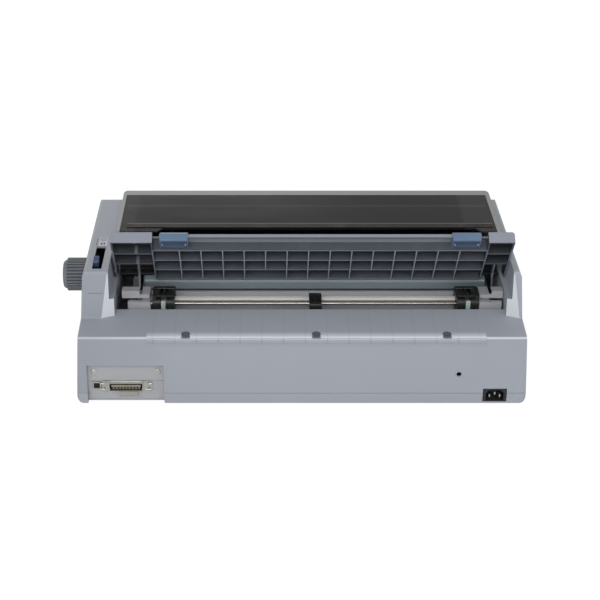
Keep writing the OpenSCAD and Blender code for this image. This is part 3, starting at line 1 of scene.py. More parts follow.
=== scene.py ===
# Looks of a wide-carriage dot matrix printer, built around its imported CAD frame.
# The frame is in metres: front is -Y, rear is +Y, the feed knob is at +X, the floor is z = 0.
import math
import bpy
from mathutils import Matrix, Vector


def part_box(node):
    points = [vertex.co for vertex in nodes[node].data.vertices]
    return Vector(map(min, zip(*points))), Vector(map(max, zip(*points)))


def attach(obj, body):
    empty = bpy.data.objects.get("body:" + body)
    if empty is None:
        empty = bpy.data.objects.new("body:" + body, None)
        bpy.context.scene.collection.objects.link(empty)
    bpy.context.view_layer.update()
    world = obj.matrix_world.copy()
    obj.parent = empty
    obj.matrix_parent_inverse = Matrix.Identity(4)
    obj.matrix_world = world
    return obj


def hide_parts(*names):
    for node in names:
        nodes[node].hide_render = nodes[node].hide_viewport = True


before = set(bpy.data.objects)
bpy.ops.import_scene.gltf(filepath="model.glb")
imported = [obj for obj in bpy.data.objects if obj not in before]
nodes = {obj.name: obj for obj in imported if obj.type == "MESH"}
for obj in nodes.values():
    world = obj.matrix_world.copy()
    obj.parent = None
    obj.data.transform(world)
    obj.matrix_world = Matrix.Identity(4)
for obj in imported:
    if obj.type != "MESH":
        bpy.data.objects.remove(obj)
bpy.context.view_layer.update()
scene = bpy.context.scene

MM = 0.001
ANY = math.inf
X, Y, Z = 0, 1, 2
REAR, UP, DOWN = Vector((0, 1, 0)), Vector((0, 0, 1)), Vector((0, 0, -1))
TURNED = 0.9                                 # share of a direction from which a face looks that way
GUIDE_PIVOT = Vector((0, 79.0, 139.0))       # hinge of the rear paper guide, in millimetres
GUIDE_TILT = math.radians(52)
FLUTE = 0.0292                               # spacing of the flutes and the tear-bar marks, in metres


# ---- shader writing ----

def rgb(r, g, b):
    """An 8-bit screen colour as the linear colour that a shader takes."""
    def linear(c):
        return ((c / 255 + 0.055) / 1.055) ** 2.4 if c > 10 else c / 255 / 12.92
    return (linear(r), linear(g), linear(b), 1.0)


def scaled(colour, factor):
    return tuple(c * factor for c in colour[:3]) + (1,)


def paler(colour, factor, lift=0.0):
    """The colour lifted towards white, with no channel over 1."""
    return tuple(min(1, c * factor + lift) for c in colour[:3]) + (1,)


class Value:
    """One shader socket that can be used in sums."""

    def __init__(self, finish, socket):
        self.finish, self.socket = finish, socket

    def _math(self, operation, *values, clamp=False):
        settings = {"operation": operation, "use_clamp": clamp}
        return self.finish.add("ShaderNodeMath", settings, *values)

    def __add__(self, other): return self._math("ADD", self, other)
    def __radd__(self, other): return self._math("ADD", other, self)
    def __sub__(self, other): return self._math("SUBTRACT", self, other)
    def __rsub__(self, other): return self._math("SUBTRACT", other, self)
    def __mul__(self, other): return self._math("MULTIPLY", self, other)
    def __rmul__(self, other): return self._math("MULTIPLY", other, self)
    def above(self, other): return self._math("GREATER_THAN", self, other)
    def below(self, other): return self._math("LESS_THAN", self, other)
    def size(self): return self._math("ABSOLUTE", self)
    def held(self): return self._math("MULTIPLY", self, 1.0, clamp=True)

    def part(self, size):
        """The place within a repeat of that size; 100 repeats are added to keep it positive."""
        return self._math("MODULO", self._math("ADD", self, 100 * size), size)

    def between(self, low, high):
        """1 where the value lies between low and high, else 0."""
        return self.above(low) * self.below(high)

    def ramp(self, low, high):
        """0 up to low, 1 from high, straight in between."""
        return self._math("MULTIPLY", (self - low), 1 / (high - low), clamp=True)


class Finish:
    """A material written as sums of sockets."""

    def __init__(self, name, colour, roughness=0.5, metallic=0.0, **fixed):
        self.material = bpy.data.materials.new(name)
        self.material.use_nodes = True
        self.tree = self.material.node_tree
        self.shader = self.tree.nodes["Principled BSDF"]
        self.shader.inputs["Base Color"].default_value = colour
        self.shader.inputs["Roughness"].default_value = roughness
        self.shader.inputs["Metallic"].default_value = metallic
        for socket, value in fixed.items():
            self.shader.inputs[socket.replace("_", " ")].default_value = value
        self.place = self.add("ShaderNodeTexCoord", {}, out="Object")

    def _fill(self, node, key, value):
        if isinstance(value, Value):
            self.tree.links.new(value.socket, node.inputs[key])
        else:
            node.inputs[key].default_value = value

    def add(self, kind, settings, *values, out=0, **named):
        """Adds one node with its settings and its input values or links."""
        node = self.tree.nodes.new(kind)
        for key, value in settings.items():
            setattr(node, key, value)
        for key, value in enumerate(values):
            self._fill(node, key, value)
        for key, value in named.items():
            self._fill(node, key.replace("_", " "), value)
        return Value(self, node.outputs[out])

    def axis(self, k):
        """The object's own x, y or z."""
        return self.add("ShaderNodeSeparateXYZ", {}, self.place, out=k)

    def facing(self, k):
        """How far the surface faces along x, y or z."""
        normal = self.add("ShaderNodeTexCoord", {}, out="Normal")
        return self.add("ShaderNodeSeparateXYZ", {}, normal, out=k)

    def noise(self, scale, detail=3.0, rough=0.5, stretch=None):
        where = self.place
        if stretch:
            where = self.add("ShaderNodeMapping", {}, Vector=self.place, Scale=stretch)
        return self.add("ShaderNodeTexNoise", {}, Vector=where, Scale=scale, Detail=detail,
                        Roughness=rough)

    def mix(self, factor, first, second):
        """The colour first where factor is 0, second where it is 1."""
        node = self.tree.nodes.new("ShaderNodeMix")
        node.data_type = "RGBA"
        for key, value in ((0, factor), (6, first), (7, second)):
            self._fill(node, key, value)
        return Value(self, node.outputs[2])

    def layered(self, shade, *layers):
        """The shade under layers of (where, how much, colour)."""
        for where, much, colour in layers:
            shade = self.mix(where * much, shade, colour)
        return shade

    def rounded_edge(self, radius):
        """The normal as if edges were rounded to radius, and 1 close to an edge."""
        soft = self.add("ShaderNodeBevel", {"samples": 4}, radius)
        plain = self.add("ShaderNodeNewGeometry", {}, out="Normal")
        same = self.add("ShaderNodeVectorMath", {"operation": "DOT_PRODUCT"}, soft, plain, out="Value")
        return soft, (1.0 - same).ramp(0.02, 0.3)

    def feed(self, socket, value):
        self.tree.links.new(value.socket, self.shader.inputs[socket])

    def bump(self, height, depth, normal=None):
        extra = {"Normal": normal} if normal else {}
        self.feed("Normal", self.add("ShaderNodeBump", {}, Strength=1.0, Distance=depth,
                                     Height=height, **extra))


# ---- kinds of finish ----

def moulded(name, colour, roughness=0.5, grain=0.00006, grain_scale=1100, edge=0.0006, shift=0.10,
            tint=None, **fixed):
    """Moulded plastic: spark-eroded grain, slight cloudiness, rubbed edges and a little dust.

    tint(finish, shade) may change the shade from place to place.
    """
    edge_wear, dust_cover, dust_colour = 0.35, 0.10, rgb(190, 188, 182)
    f = Finish(name, colour, roughness, **fixed)
    cloud = f.noise(7.0, 4.0)
    fine = f.noise(grain_scale, 2.0, 0.6)
    soft, near_edge = f.rounded_edge(edge)
    shade = f.mix(cloud, scaled(colour, 1 - shift / 2), scaled(colour, 1 + shift / 2))
    if tint:
        shade = tint(f, shade)
    dust = f.facing(Z).ramp(0.6, 1.0) * f.noise(45.0, 5.0, 0.7).ramp(0.5, 0.75)
    f.feed("Base Color", f.layered(shade, (near_edge, edge_wear, paler(colour, 1.3, 0.01)),
                                   (dust, dust_cover, dust_colour)))
    f.feed("Roughness", roughness - 0.06 + cloud * 0.12 + dust * 0.08)
    f.bump(fine, grain, soft)
    return f


def sheet_metal(name, colour, roughness=0.38, metallic=0.6, streaks=(2.0, 400.0, 400.0)):
    """Plated sheet: fine rolling lines, cloudy passivation and bright edges."""
    edge_radius, line_depth = 0.0003, 0.00002
    f = Finish(name, colour, roughness, metallic)
    lines = f.noise(1.0, 3.0, 0.6, stretch=streaks)
    cloud = f.noise(22.0, 5.0, 0.6)
    soft, near_edge = f.rounded_edge(edge_radius)
    f.feed("Base Color", f.mix(cloud * 0.5 + near_edge * 0.3, scaled(colour, 0.88), paler(colour, 1.12)))
    f.feed("Roughness", roughness - 0.08 + lines * 0.1 + cloud * 0.08)
    f.bump(lines, line_depth, soft)
    return f


def turned_steel(name, colour, roughness=0.22, along=X):
    """A drawn or turned steel rod: lines round it, faint oil film."""
    film_scale, line_scale, line_depth = 60.0, 2600.0, 0.00001
    f = Finish(name, colour, roughness, 1.0)
    stretch = [film_scale] * 3
    stretch[along] = line_scale
    lines = f.noise(1.0, 2.0, 0.5, stretch=tuple(stretch))
    film = f.noise(30.0, 4.0)
    f.feed("Base Color", f.mix(film, scaled(colour, 0.86), colour))
    f.feed("Roughness", roughness - 0.05 + film * 0.14)
    f.bump(lines, line_depth)
    return f


def rubber(name, colour, roughness=0.75):
    """Matt rubber with a fine grit and paler scuffs."""
    grit_depth = 0.00006
    f = Finish(name, colour, roughness)
    grit = f.noise(1800.0, 3.0, 0.7)
    scuff = f.noise(35.0, 6.0, 0.7).ramp(0.45, 0.8)
    f.feed("Base Color", f.mix(scuff * 0.4, colour, paler(colour, 2.2, 0.01)))
    f.feed("Roughness", roughness + grit * 0.12)
    f.bump(grit, grit_depth)
    return f


# ---- shades that change from place to place; places in metres, in the frame's own axes ----

def in_guide(f):
    """Place and facing along the guide's length (u) and through its thickness (v)."""
    c, s = math.cos(GUIDE_TILT), math.sin(GUIDE_TILT)
    y, z = f.axis(Y) - GUIDE_PIVOT.y * MM, f.axis(Z) - GUIDE_PIVOT.z * MM
    ny, nz = f.facing(Y), f.facing(Z)
    return y * c + z * s, z * c - y * s, ny * c + nz * s, nz * c - ny * s


def guide_tint(f, shade):
    """Painted highlights on the end faces, the rail strip and the rib edges, painted shade in the
    hollows of the end housings, and paler stays.
    """
    ribbed_span, housing_span, stay_span = (-0.2495, 0.2008), (-0.2870, 0.2630), (0.2225, 0.2268)
    rail_from, rail_lip, hollow_to, end_from = 0.0785, 0.0865, 0.098, 0.099
    rib_face, stay_face, rail_face, hollow_depth = -0.0030, 0.0095, 0.0065, (-0.0035, 0.0115)
    square_on = 0.7
    u, v, facing_u, facing_v = in_guide(f)
    x = f.axis(X)
    housing = 1.0 - x.between(*ribbed_span)
    end_face_highlight = facing_u.above(square_on) * u.above(end_from)
    rib_edge_highlight = facing_v.below(-square_on) * v.below(rib_face) * u.below(rail_from)
    hollow = (housing * x.between(*housing_span) * u.below(hollow_to) * (1.0 - rib_edge_highlight)
              * v.between(*hollow_depth))
    strip = u.above(rail_from) * (1.0 - housing)
    stay = housing * x.size().between(*stay_span) * v.below(stay_face)
    # painted shade in the hollows; painted highlights on the rib edges, rail strip and end faces
    return f.layered(
        shade,
        (hollow, 0.6, rgb(26, 29, 31)),
        (rib_edge_highlight, 0.95 - housing * 0.5, rgb(160, 168, 180)),
        (strip, 0.55, rgb(112, 118, 130)),
        (strip * u.between(rail_from, rail_lip), 0.7, rgb(152, 158, 170)),
        (strip * v.above(rail_face) * facing_u.above(-0.5), 0.9, rgb(150, 155, 164)),
        (stay * (1.0 - end_face_highlight), 0.8, rgb(120, 128, 134)),
        (end_face_highlight, 1.0, rgb(150, 156, 168)))


def case_tint(f, shade):
    """Painted highlights on the facets beside the well, the shoulder and the lip, painted shade under
    the lip and towards +x, and faint flute lines on the deck.
    """
    lip_span, deck_front, deck_top, rear_face = (-0.2465, 0.2085), 0.1330, 0.1128, 0.1990
    flute_start, line_width, flutes_from = 0.0050, 0.0012, 0.0950
    painted_highlight, shadow = rgb(236, 241, 246), rgb(90, 94, 104)
    x, y, z = f.axis(X), f.axis(Y), f.axis(Z)
    side = x.size().between(0.24, 0.302) * z.above(0.105) * y.between(0.12, 0.158)
    facet_highlight = f.facing(X).size().ramp(0.2, 0.3) * f.facing(Y).ramp(0.8, 0.9) * side
    lip = x.between(*lip_span)
    rear = y.above(deck_front) * z.below(deck_top)
    shoulder_highlight = z.ramp(0.1015, 0.1028) * y.ramp(0.1880, 0.1995) * rear
    flute = (x + flute_start).part(FLUTE).below(line_width) * lip * rear * z.above(flutes_from)
    # painted highlights on shoulder, lip and facets; painted shadow under the lip; painted shade growing
    # towards +x; the flute lines are real
    return f.layered(
        shade,
        (shoulder_highlight * lip, 0.85, painted_highlight),
        ((1.0 - lip) * z.between(0.1005, 0.1032) * y.above(0.1975), 0.6, painted_highlight),
        (lip * z.between(0.0998, 0.1018) * y.above(rear_face), 0.45, rgb(214, 220, 226)),
        (flute, 0.10, rgb(60, 62, 70)),
        (lip * z.between(0.0945, 0.0960) * y.above(rear_face), 0.25, shadow),
        (x.ramp(0.17, 0.29), 0.3, rgb(140, 143, 150)),
        (facet_highlight, 0.9, rgb(222, 227, 233)))


def tear_tint(f, shade):
    """A thin painted highlight along the front edge and a fine mark at every flute's spacing."""
    first_mark, mark_width, front_edge = 0.019, 0.0009, 0.0074
    marks = (f.axis(X) + first_mark).part(FLUTE).below(mark_width)
    # the front-edge band is a painted highlight; the marks are real
    return f.layered(shade, (marks, 0.7, rgb(40, 38, 37)),
                     (f.axis(Y).below(front_edge), 0.8, rgb(128, 128, 128)))


def plate_tint(f, shade):
    """A painted highlight along the upper edge and painted shade along the lower edge of the entry
    plate.
    """
    upper_edge, lower_edge = (0.1215, 0.1250), 0.1090
    z = f.axis(Z)
    # painted highlight above, painted shade below
    return f.layered(shade, (z.between(*upper_edge), 0.35, rgb(190, 202, 206)),
                     (z.below(lower_edge), 0.85, rgb(20, 26, 28)))


def knob_tint(f, shade):
    """Painted shade in the grooves between the knob's ribs."""
    centre_y, centre_z, groove_radius, ribbed_span = 0.0184, 0.1100, 0.0232, (0.3072, 0.3330)
    across, up = f.axis(Y) - centre_y, f.axis(Z) - centre_z
    shaded_groove = (across * across + up * up).below(groove_radius * groove_radius)
    # painted shade inside the grooves
    return f.layered(shade, (shaded_groove * f.axis(X).between(*ribbed_span), 0.8, rgb(44, 47, 50)))


def shaft_tint(f, shade):
    """Painted shade, brown, on the lower faces of the square drive shaft; the top face keeps its bright
    base colour.
    """
    middle_height, square_on = 0.1085, 0.7
    # painted shade on the lower faces that do not look up
    low = f.axis(Z).below(middle_height) * f.facing(Z).below(square_on)
    return f.layered(shade, (low, 0.85, rgb(92, 84, 76)))


def smoked_window():
    """Smoked see-through plastic with faint wiping marks and paler bands at its ends."""
    band_from, band_full = 0.232, 0.238
    f = Finish("smoked_window_plastic", rgb(44, 43, 44), 0.16, Specular_IOR_Level=0.2, Alpha=0.88)
    wipe = f.noise(1.0, 5.0, 0.6, stretch=(9.0, 40.0, 40.0))
    band = f.axis(X).size().ramp(band_from, band_full)
    f.feed("Roughness", 0.1 + wipe * 0.14)
    f.feed("Base Color", f.layered(f.mix(wipe, rgb(24, 23, 25), rgb(36, 35, 37)),
                                   (band, 0.5, rgb(66, 66, 68))))
    return f


def socket_shell():
    """Nickel shells; inside them black insulators, with a pale ledge and plated contact ends."""
    long_x, long_z, long_half_width, long_half_height = 0.2390, 0.0253, 0.0218, 0.0052
    square_off_x, square_off_z, square_half_width, square_half_height = 0.0400, 0.0003, 0.0043, 0.0040
    ledge_span, ends_span, ends_half_width = (0.0008, 0.0020), (-0.0024, -0.0010), 0.0192
    contact_repeat, contact_width = 0.00432, 0.0016
    f = Finish("socket_shell_nickel", rgb(196, 195, 190), 0.28, 0.9)
    x = f.axis(X)
    across, up = x - long_x, f.axis(Z) - long_z
    long_one = across.size().below(long_half_width) * up.size().below(long_half_height)
    square_one = ((across - square_off_x).size().below(square_half_width)
                  * (up + square_off_z).size().below(square_half_height))
    ledge = long_one * up.between(*ledge_span)
    ends = long_one * across.size().below(ends_half_width) * x.part(contact_repeat).below(contact_width)
    bright = (ledge + ends * up.between(*ends_span)).held()
    dark = (long_one + square_one).held() * (1.0 - bright)
    film = f.noise(30.0, 4.0)
    metal = f.mix(bright, f.mix(film, rgb(176, 175, 170), rgb(206, 205, 200)), rgb(222, 222, 216))
    f.feed("Base Color", f.mix(dark, metal, rgb(14, 14, 15)))
    f.feed("Metallic", (1.0 - dark) * 0.85)
    f.feed("Roughness", 0.24 + film * 0.12 + dark * 0.3)
    f.bump(film, 0.00002)
    return f


def circuit_board():
    """Green lacquer over broken rows of traces."""
    trace_pitch, trace_width, trace_height = 0.004, 0.0012, 0.00005
    f = Finish("circuit_board_lacquer", rgb(20, 70, 45), 0.35)
    trace = f.axis(X).part(trace_pitch).between(0.0, trace_width) * f.noise(90.0, 1.0).above(0.5)
    f.feed("Base Color", f.mix(trace * f.facing(Z).above(0.5), rgb(18, 66, 42), rgb(44, 110, 70)))
    f.bump(trace, trace_height)
    return f


FINE, FINER = 0.00002, 0.00001               # grain of smoother mouldings, in metres

finishes = {
    "case": moulded("case_plastic", rgb(168, 173, 183), tint=case_tint),
    "lower": moulded("lower_case_plastic", rgb(168, 172, 181), 0.52),
    "guide": moulded("paper_guide_plastic", rgb(80, 86, 95), shift=0.16, tint=guide_tint),
    "cover": moulded("cover_plastic", rgb(158, 158, 158)),
    "black": moulded("black_plastic", rgb(34, 34, 36), 0.42, edge=0.0004, shift=0.3),
    "dark": moulded("dark_grey_plastic", rgb(92, 93, 99), shift=0.2),
    "blue": moulded("blue_clip_plastic", rgb(104, 126, 156), 0.36, FINE, shift=0.08),
    "clip": moulded("dark_blue_plastic", rgb(74, 90, 116), 0.4, FINE, shift=0.08),
    "lever": moulded("blue_lever_plastic", rgb(66, 82, 114), 0.36, FINE),
    "pale": moulded("pale_green_plastic", rgb(170, 186, 174), 0.42, FINE, edge=0.0004),
    "white": moulded("acetal_gear_plastic", rgb(214, 212, 202), 0.4, FINE, edge=0.0003),
    "bracket": moulded("bracket_plastic", rgb(176, 177, 180), 0.48, edge=0.0004),
    "tear": moulded("tear_bar_plastic", rgb(54, 52, 50), 0.6, edge=0.0003, tint=tear_tint,
                    Specular_IOR_Level=0.2),
    "plate": moulded("entry_plate_plastic", rgb(142, 155, 162), 0.45, edge=0.0004, tint=plate_tint),
    "panel": moulded("control_panel_plastic", rgb(120, 123, 132), 0.45),
    "button": moulded("button_plastic", rgb(186, 189, 196), 0.4, FINE, edge=0.0005),
    "hollow": moulded("dimple_shade", rgb(92, 97, 108), 0.6, edge=0.0003),
    "ink": moulded("dark_ink", rgb(70, 72, 78), 0.6, FINER, edge=0.0002),
    "lens": moulded("green_lens", rgb(60, 150, 90), 0.15, 0.000005, edge=0.0002),
    "knob": moulded("knob_plastic", rgb(116, 121, 126), tint=knob_tint),
    "cavity": moulded("socket_insulator", rgb(24, 24, 26), edge=0.0002, shift=0.3),
    "cream": moulded("plated_shaft", rgb(252, 249, 243), 0.3, FINER, edge=0.0003, tint=shaft_tint),
    "sheet": sheet_metal("plated_sheet", rgb(190, 191, 194), 0.42, 0.3),
    "frame": sheet_metal("zinc_sheet", rgb(172, 174, 178), 0.4, 0.8),
    "shell": sheet_metal("nickel_shell", rgb(190, 188, 180), 0.28, 0.9),
    "steel": turned_steel("drawn_steel", rgb(206, 204, 196)),
    "wire": turned_steel("bail_wire", rgb(210, 210, 206), 0.18, along=Z),
    "screw": turned_steel("screw_zinc", rgb(214, 213, 209), 0.32, along=Y),
    "gold": turned_steel("contact_gold", rgb(226, 196, 120), 0.25, along=Y),
    "brass": turned_steel("pinion_brass", rgb(205, 170, 100), 0.3),
    "rubber": rubber("black_rubber", rgb(38, 38, 39)),
    "feet": rubber("foot_rubber", rgb(48, 48, 50)),
    "window": smoked_window(),
    "board": circuit_board(),
    "sockets": socket_shell(),
}

wears = {
    "case": ["upper_case"],
    "knob": ["paper_feed_knob"],
    "lower": ["lower_case"],
    "feet": ["rubber_feet"],
    "sheet": ["slot_cover", "socket_panel"],
    "frame": ["chassis_plate", "left_side_frame", "right_side_frame", "paper_pan", "power_supply"],
    "screw": ["slot_cover_screws"],
    "sockets": ["usb_socket", "parallel_socket"],
    "wire": ["left_wire_bail", "right_wire_bail"],
    "black": ["ac_inlet", "exit_guide", "ribbon_cartridge", "left_tractor_case",
              "right_tractor_case", "left_tractor_flap", "right_tractor_flap",
              "left_tractor_wheel", "right_tractor_wheel", "paper_support", "print_carriage",
              "power_switch"],
    "dark": ["motors", "print_head", "platen_gear", "idler_gear", "tractor_gear"],
    "board": ["main_board"],
    "steel": ["fixed_shafts", "platen_shaft"],
    "cream": ["drive_shaft"],
    "bracket": ["shaft_brackets", "lower_entry_guide"],
    "white": ["left_belt_pulley", "right_belt_pulley"],
    "pale": ["left_tractor_lock", "right_tractor_lock"],
    "brass": ["motor_pinion"],
    "lever": ["release_lever", "thickness_lever"],
    "guide": ["paper_guide"],
    "plate": ["upper_entry_guide"],
    "cover": ["cover_frame"],
    "window": ["cover_window"],
    "tear": ["tear_off_bar"],
    "blue": ["left_edge_guide", "right_edge_guide"],
    "panel": ["control_panel"],
    "button": ["pause_button", "feed_button", "load_button", "font_button"],
    "rubber": ["platen_roller", "carriage_belt"],
}
for finish, names in wears.items():
    for name in names:
        mesh = nodes[name].data
        mesh.materials.clear()
        mesh.materials.append(finishes[finish].material)
left_over = set(nodes) - {n for names in wears.values() for n in names}
assert not left_over, left_over


# ---- modelling helpers; sizes from here on are in millimetres ----

def fresh(obj=None):
    """Leaves edit mode and selects only obj."""
    if bpy.context.object and bpy.context.object.mode != "OBJECT":
        bpy.ops.object.mode_set(mode="OBJECT")
    bpy.ops.object.select_all(action="DESELECT")
    if obj:
        obj.select_set(True)
        bpy.context.view_layer.objects.active = obj


def settle(name):
    """Names the new piece and puts its place into its mesh."""
    obj = bpy.context.object
    bpy.ops.object.transform_apply(location=True, rotation=True, scale=True)
    obj.name = obj.data.name = name
    return obj


def block(name, low, high):
    """A block between two corners, to be shaped further."""
    fresh()
    bpy.ops.mesh.primitive_cube_add(size=1, location=[(a + b) / 2 * MM for a, b in zip(low, high)])
    bpy.context.object.scale = [(b - a) * MM for a, b in zip(low, high)]
    return settle(name)


def rod(name, start, end, radius, sides=32, end_radius=None):
    """A round rod between two points, to be shaped further."""
    fresh()
    start, end = Vector(start) * MM, Vector(end) * MM
    bpy.ops.mesh.primitive_cone_add(
        vertices=sides, radius1=radius * MM, radius2=(end_radius or radius) * MM,
        depth=(end - start).length, location=(start + end) / 2,
        rotation=(end - start).to_track_quat("Z", "Y").to_euler())
    return settle(name)


def looks(way, near=None, reach=None):
    """A rule for faces that look one way, if asked only those within reach of a point."""
    def rule(centre, normal):
        if normal.dot(way) <= TURNED:
            return False
        return near is None or all(abs(c - n) < r for c, n, r in zip(centre, near, reach))
    return rule


def choose(obj, rule):
    """Goes to edit mode with the faces selected whose centre (mm) and normal pass the rule."""
    fresh(obj)
    bpy.ops.object.mode_set(mode="EDIT")
    bpy.ops.mesh.select_mode(type="FACE")
    bpy.ops.mesh.select_all(action="DESELECT")
    bpy.ops.object.mode_set(mode="OBJECT")
    for face in obj.data.polygons:
        face.select = bool(rule(face.center / MM, face.normal))
    bpy.ops.object.mode_set(mode="EDIT")


def inset(obj, rule, width):
    choose(obj, rule)
    bpy.ops.mesh.inset(thickness=width * MM, depth=0.0)
    bpy.ops.object.mode_set(mode="OBJECT")


def extrude(obj, rule, move):
    choose(obj, rule)
    bpy.ops.mesh.extrude_region_move(TRANSFORM_OT_translate={"value": [m * MM for m in move]})
    bpy.ops.object.mode_set(mode="OBJECT")


def recess(obj, way, border, move, near, reach):
    """Insets the side that looks one way, and moves what lies within reach of a point."""
    inset(obj, looks(way), border)
    extrude(obj, looks(way, near, reach), move)


def scale_faces(obj, rule, factors, centre):
    choose(obj, rule)
    bpy.ops.transform.resize(value=factors, center_override=[c * MM for c in centre])
    bpy.ops.object.mode_set(mode="OBJECT")


def soften(obj, width, segments=2, angle=35):
    """Rounds the sharp edges and smooths the shading."""
    fresh(obj)
    mod = obj.modifiers.new("round", "BEVEL")
    mod.width, mod.segments, mod.limit_method = width * MM, segments, "ANGLE"
    mod.angle_limit = math.radians(angle)
    bpy.ops.object.modifier_apply(modifier=mod.name)
    bpy.ops.object.shade_smooth_by_angle(angle=math.radians(40))
    return obj


def cut(obj, cutter):
    """Takes the cutter's shape out of a piece."""
    fresh(obj)
    mod = obj.modifiers.new("cut", "BOOLEAN")
    mod.object, mod.operation, mod.solver = cutter, "DIFFERENCE", "EXACT"
    bpy.ops.object.modifier_apply(modifier=mod.name)
    bpy.data.objects.remove(cutter)


def join(name, pieces):
    """One mesh of several, all of them finished."""
    fresh(pieces[0])
    for piece in pieces[1:]:
        piece.select_set(True)
    bpy.ops.object.join()
    pieces[0].name = pieces[0].data.name = name
    return pieces[0]


def copied(obj, name, move):
    """A copy with its own mesh, moved in its mesh."""
    twin = obj.copy()
    twin.data = obj.data.copy()
    twin.name = twin.data.name = name
    scene.collection.objects.link(twin)
    for v in twin.data.vertices:
        v.co += Vector(move) * MM
    return twin


def moved(obj, place, tilt):
    """Tips a piece that was drawn flat, and puts it in place."""
    fresh(obj)
    obj.location, obj.rotation_euler = place * MM, (tilt, 0, 0)
    bpy.ops.object.transform_apply(location=True, rotation=True, scale=True)
    return obj


def done(obj, finish, body):
    """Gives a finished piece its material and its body."""
    obj.data.materials.clear()
    obj.data.materials.append(finishes[finish].material)
    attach(obj, body)
    return obj


def corners(node):
    """The corners and the middle of a CAD node's box."""
    low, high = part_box(node)
    return low / MM, high / MM, (low + high) / 2 / MM


# ---- interface panel ----

def screws():
    """Two pan-head screws with cross recesses in the slot cover."""
    radius, head_depth, dome, dome_taper = 3.6, 1.8, 0.5, 0.72
    cross_arm, cross_half, cross_depth, shank_radius = 1.7, 0.35, 0.9, 1.6
    low, high, mid = corners("slot_cover_screws")
    z, face = mid.z, high.y
    heads = []
    for x in (low.x + radius, high.x - radius):
        head = rod("screw", (x, face - head_depth, z), (x, face - dome, z), radius)
        extrude(head, looks(REAR), (0, dome, 0))
        scale_faces(head, looks(REAR), (dome_taper, 1, dome_taper), (x, face, z))
        for wide, tall in ((cross_arm, cross_half), (cross_half, cross_arm)):
            cut(head, block("cut", (x - wide, face - cross_depth, z - tall),
                            (x + wide, face + 1, z + tall)))
        shank = rod("shank", (x, low.y, z), (x, face - head_depth - 0.1, z), shank_radius)
        heads += [soften(head, 0.12), shank]
    piece = join("cross_head_screws", heads)
    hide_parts("slot_cover_screws")
    done(piece, "screw", "case")


def contacts():
    """Black insulator with two rows of sprung contacts, inside the shell of the 36-pin socket."""
    per_row, pitch, first_x, last_x, half_height = 18, 2.16, 18.9, 17.6, 0.5
    row_height, tip_height, root, tip = 3.1, 2.9, 7.5, 0.9
    bar_height, bar_half_height, bar_half_width = 3.4, 1.5, 20.4
    _, high, mid = corners("parallel_socket")
    x0, z0 = mid.x, 25.3
    rows = []
    for side in (-1, 1):
        z = z0 + side * row_height
        first = block("contact", (x0 - first_x, high.y - root, z - half_height),
                      (x0 - last_x, high.y - tip, z + half_height))
        scale_faces(first, looks(REAR), (0.8, 1, 0.5),
                    (x0 - (first_x + last_x) / 2, high.y, z0 + side * tip_height))
        rows.append(first)
        rows += [copied(first, "contact", (k * pitch, 0, 0)) for k in range(1, per_row)]
    done(join("socket_contacts", rows), "gold", "case")
    bars = []
    for z in (z0 + bar_height, z0 - bar_height):
        bar = block("bar", (x0 - bar_half_width, high.y - 3, z - bar_half_height),
                    (x0 + bar_half_width, high.y - 1.2, z + bar_half_height))
        recess(bar, REAR, 0.4, (0, -0.3, 0), (x0, high.y, z), (ANY, ANY, 0.8))
        bars.append(bar)
    done(join("socket_insulator", bars), "cavity", "case")


def small_port():
    """Black insulator inside the square socket, with a hollow for its tongue."""
    half_width, half_height, rim, depth = 4.6, 4.2, 1.1, 1.2
    _, high, mid = corners("usb_socket")
    x0, z0 = mid.x, 25.0
    back = block("back", (x0 - half_width, high.y - 3.2, z0 - half_height),
                 (x0 + half_width, high.y - 1.0, z0 + half_height))
    recess(back, REAR, rim, (0, -depth, 0), (x0, high.y, z0), (1, ANY, 1))
    done(soften(back, 0.15), "cavity", "case")


def finger_dimples():
    """Round finger dimples in the deck, above the notches in its lip."""
    middle_x, spacing, y, radius, rim, depth = -19.0, 175.2, 193.2, 6.0, 0.5, 0.25
    deck_top, deck_front, deck_slope = 112.0, 133.0, 8.8 / 68.0
    up = Vector((0, deck_slope, 1)).normalized()
    for k, name in ((-1, "left"), (0, "middle"), (1, "right")):
        at = Vector((middle_x - k * spacing, y, deck_top - (y - deck_front) * deck_slope))
        dimple = rod("rim", at - up * 0.6, at + up * 0.35, radius, 40)
        recess(dimple, UP, rim, up * -depth, at, (2, 2, 2))
        done(join(name + "_finger_dimple", [soften(dimple, 0.12)]), "hollow", "case")


def plate_tab():
    """Bent tab below the long socket."""
    left, right, back, front, bottom, top = 222.9, 247.9, 194.0, 195.9, 9.2, 16.9
    rim = depth = 0.9
    middle = ((left + right) / 2, front, (bottom + top) / 2)
    tab = block("tab", (left, back, bottom), (right, front, top))
    recess(tab, REAR, rim, (0, -depth, 0), middle, (3, ANY, 1))
    done(join("plate_tab", [soften(tab, 0.2)]), "shell", "case")


def inlet_blades():
    """Plated blades of the mains inlet, chamfered at their tips."""
    half_width, half_height, root, tip, chamfer, tip_rise = 1.08, 2.08, 17, 1.6, 0.45, 0.6
    _, high, mid = corners("ac_inlet")
    blades = []
    for dx, dz in ((-7, -1.4), (7, -1.4), (0, 2.4)):
        x, z = mid.x + dx, mid.z + dz
        blade = block("blade", (x - half_width, high.y - root, z - half_height),
                      (x + half_width, high.y - tip, z + half_height))
        inset(blade, looks(REAR), chamfer)
        choose(blade, looks(REAR, (x, 0, z), (0.3, ANY, 0.5)))
        bpy.ops.transform.translate(value=(0, tip_rise * MM, 0))
        bpy.ops.object.mode_set(mode="OBJECT")
        blades.append(soften(blade, 0.1))
    done(join("inlet_blades", blades), "screw", "case")


# ---- paper guide, deck and front panel ----

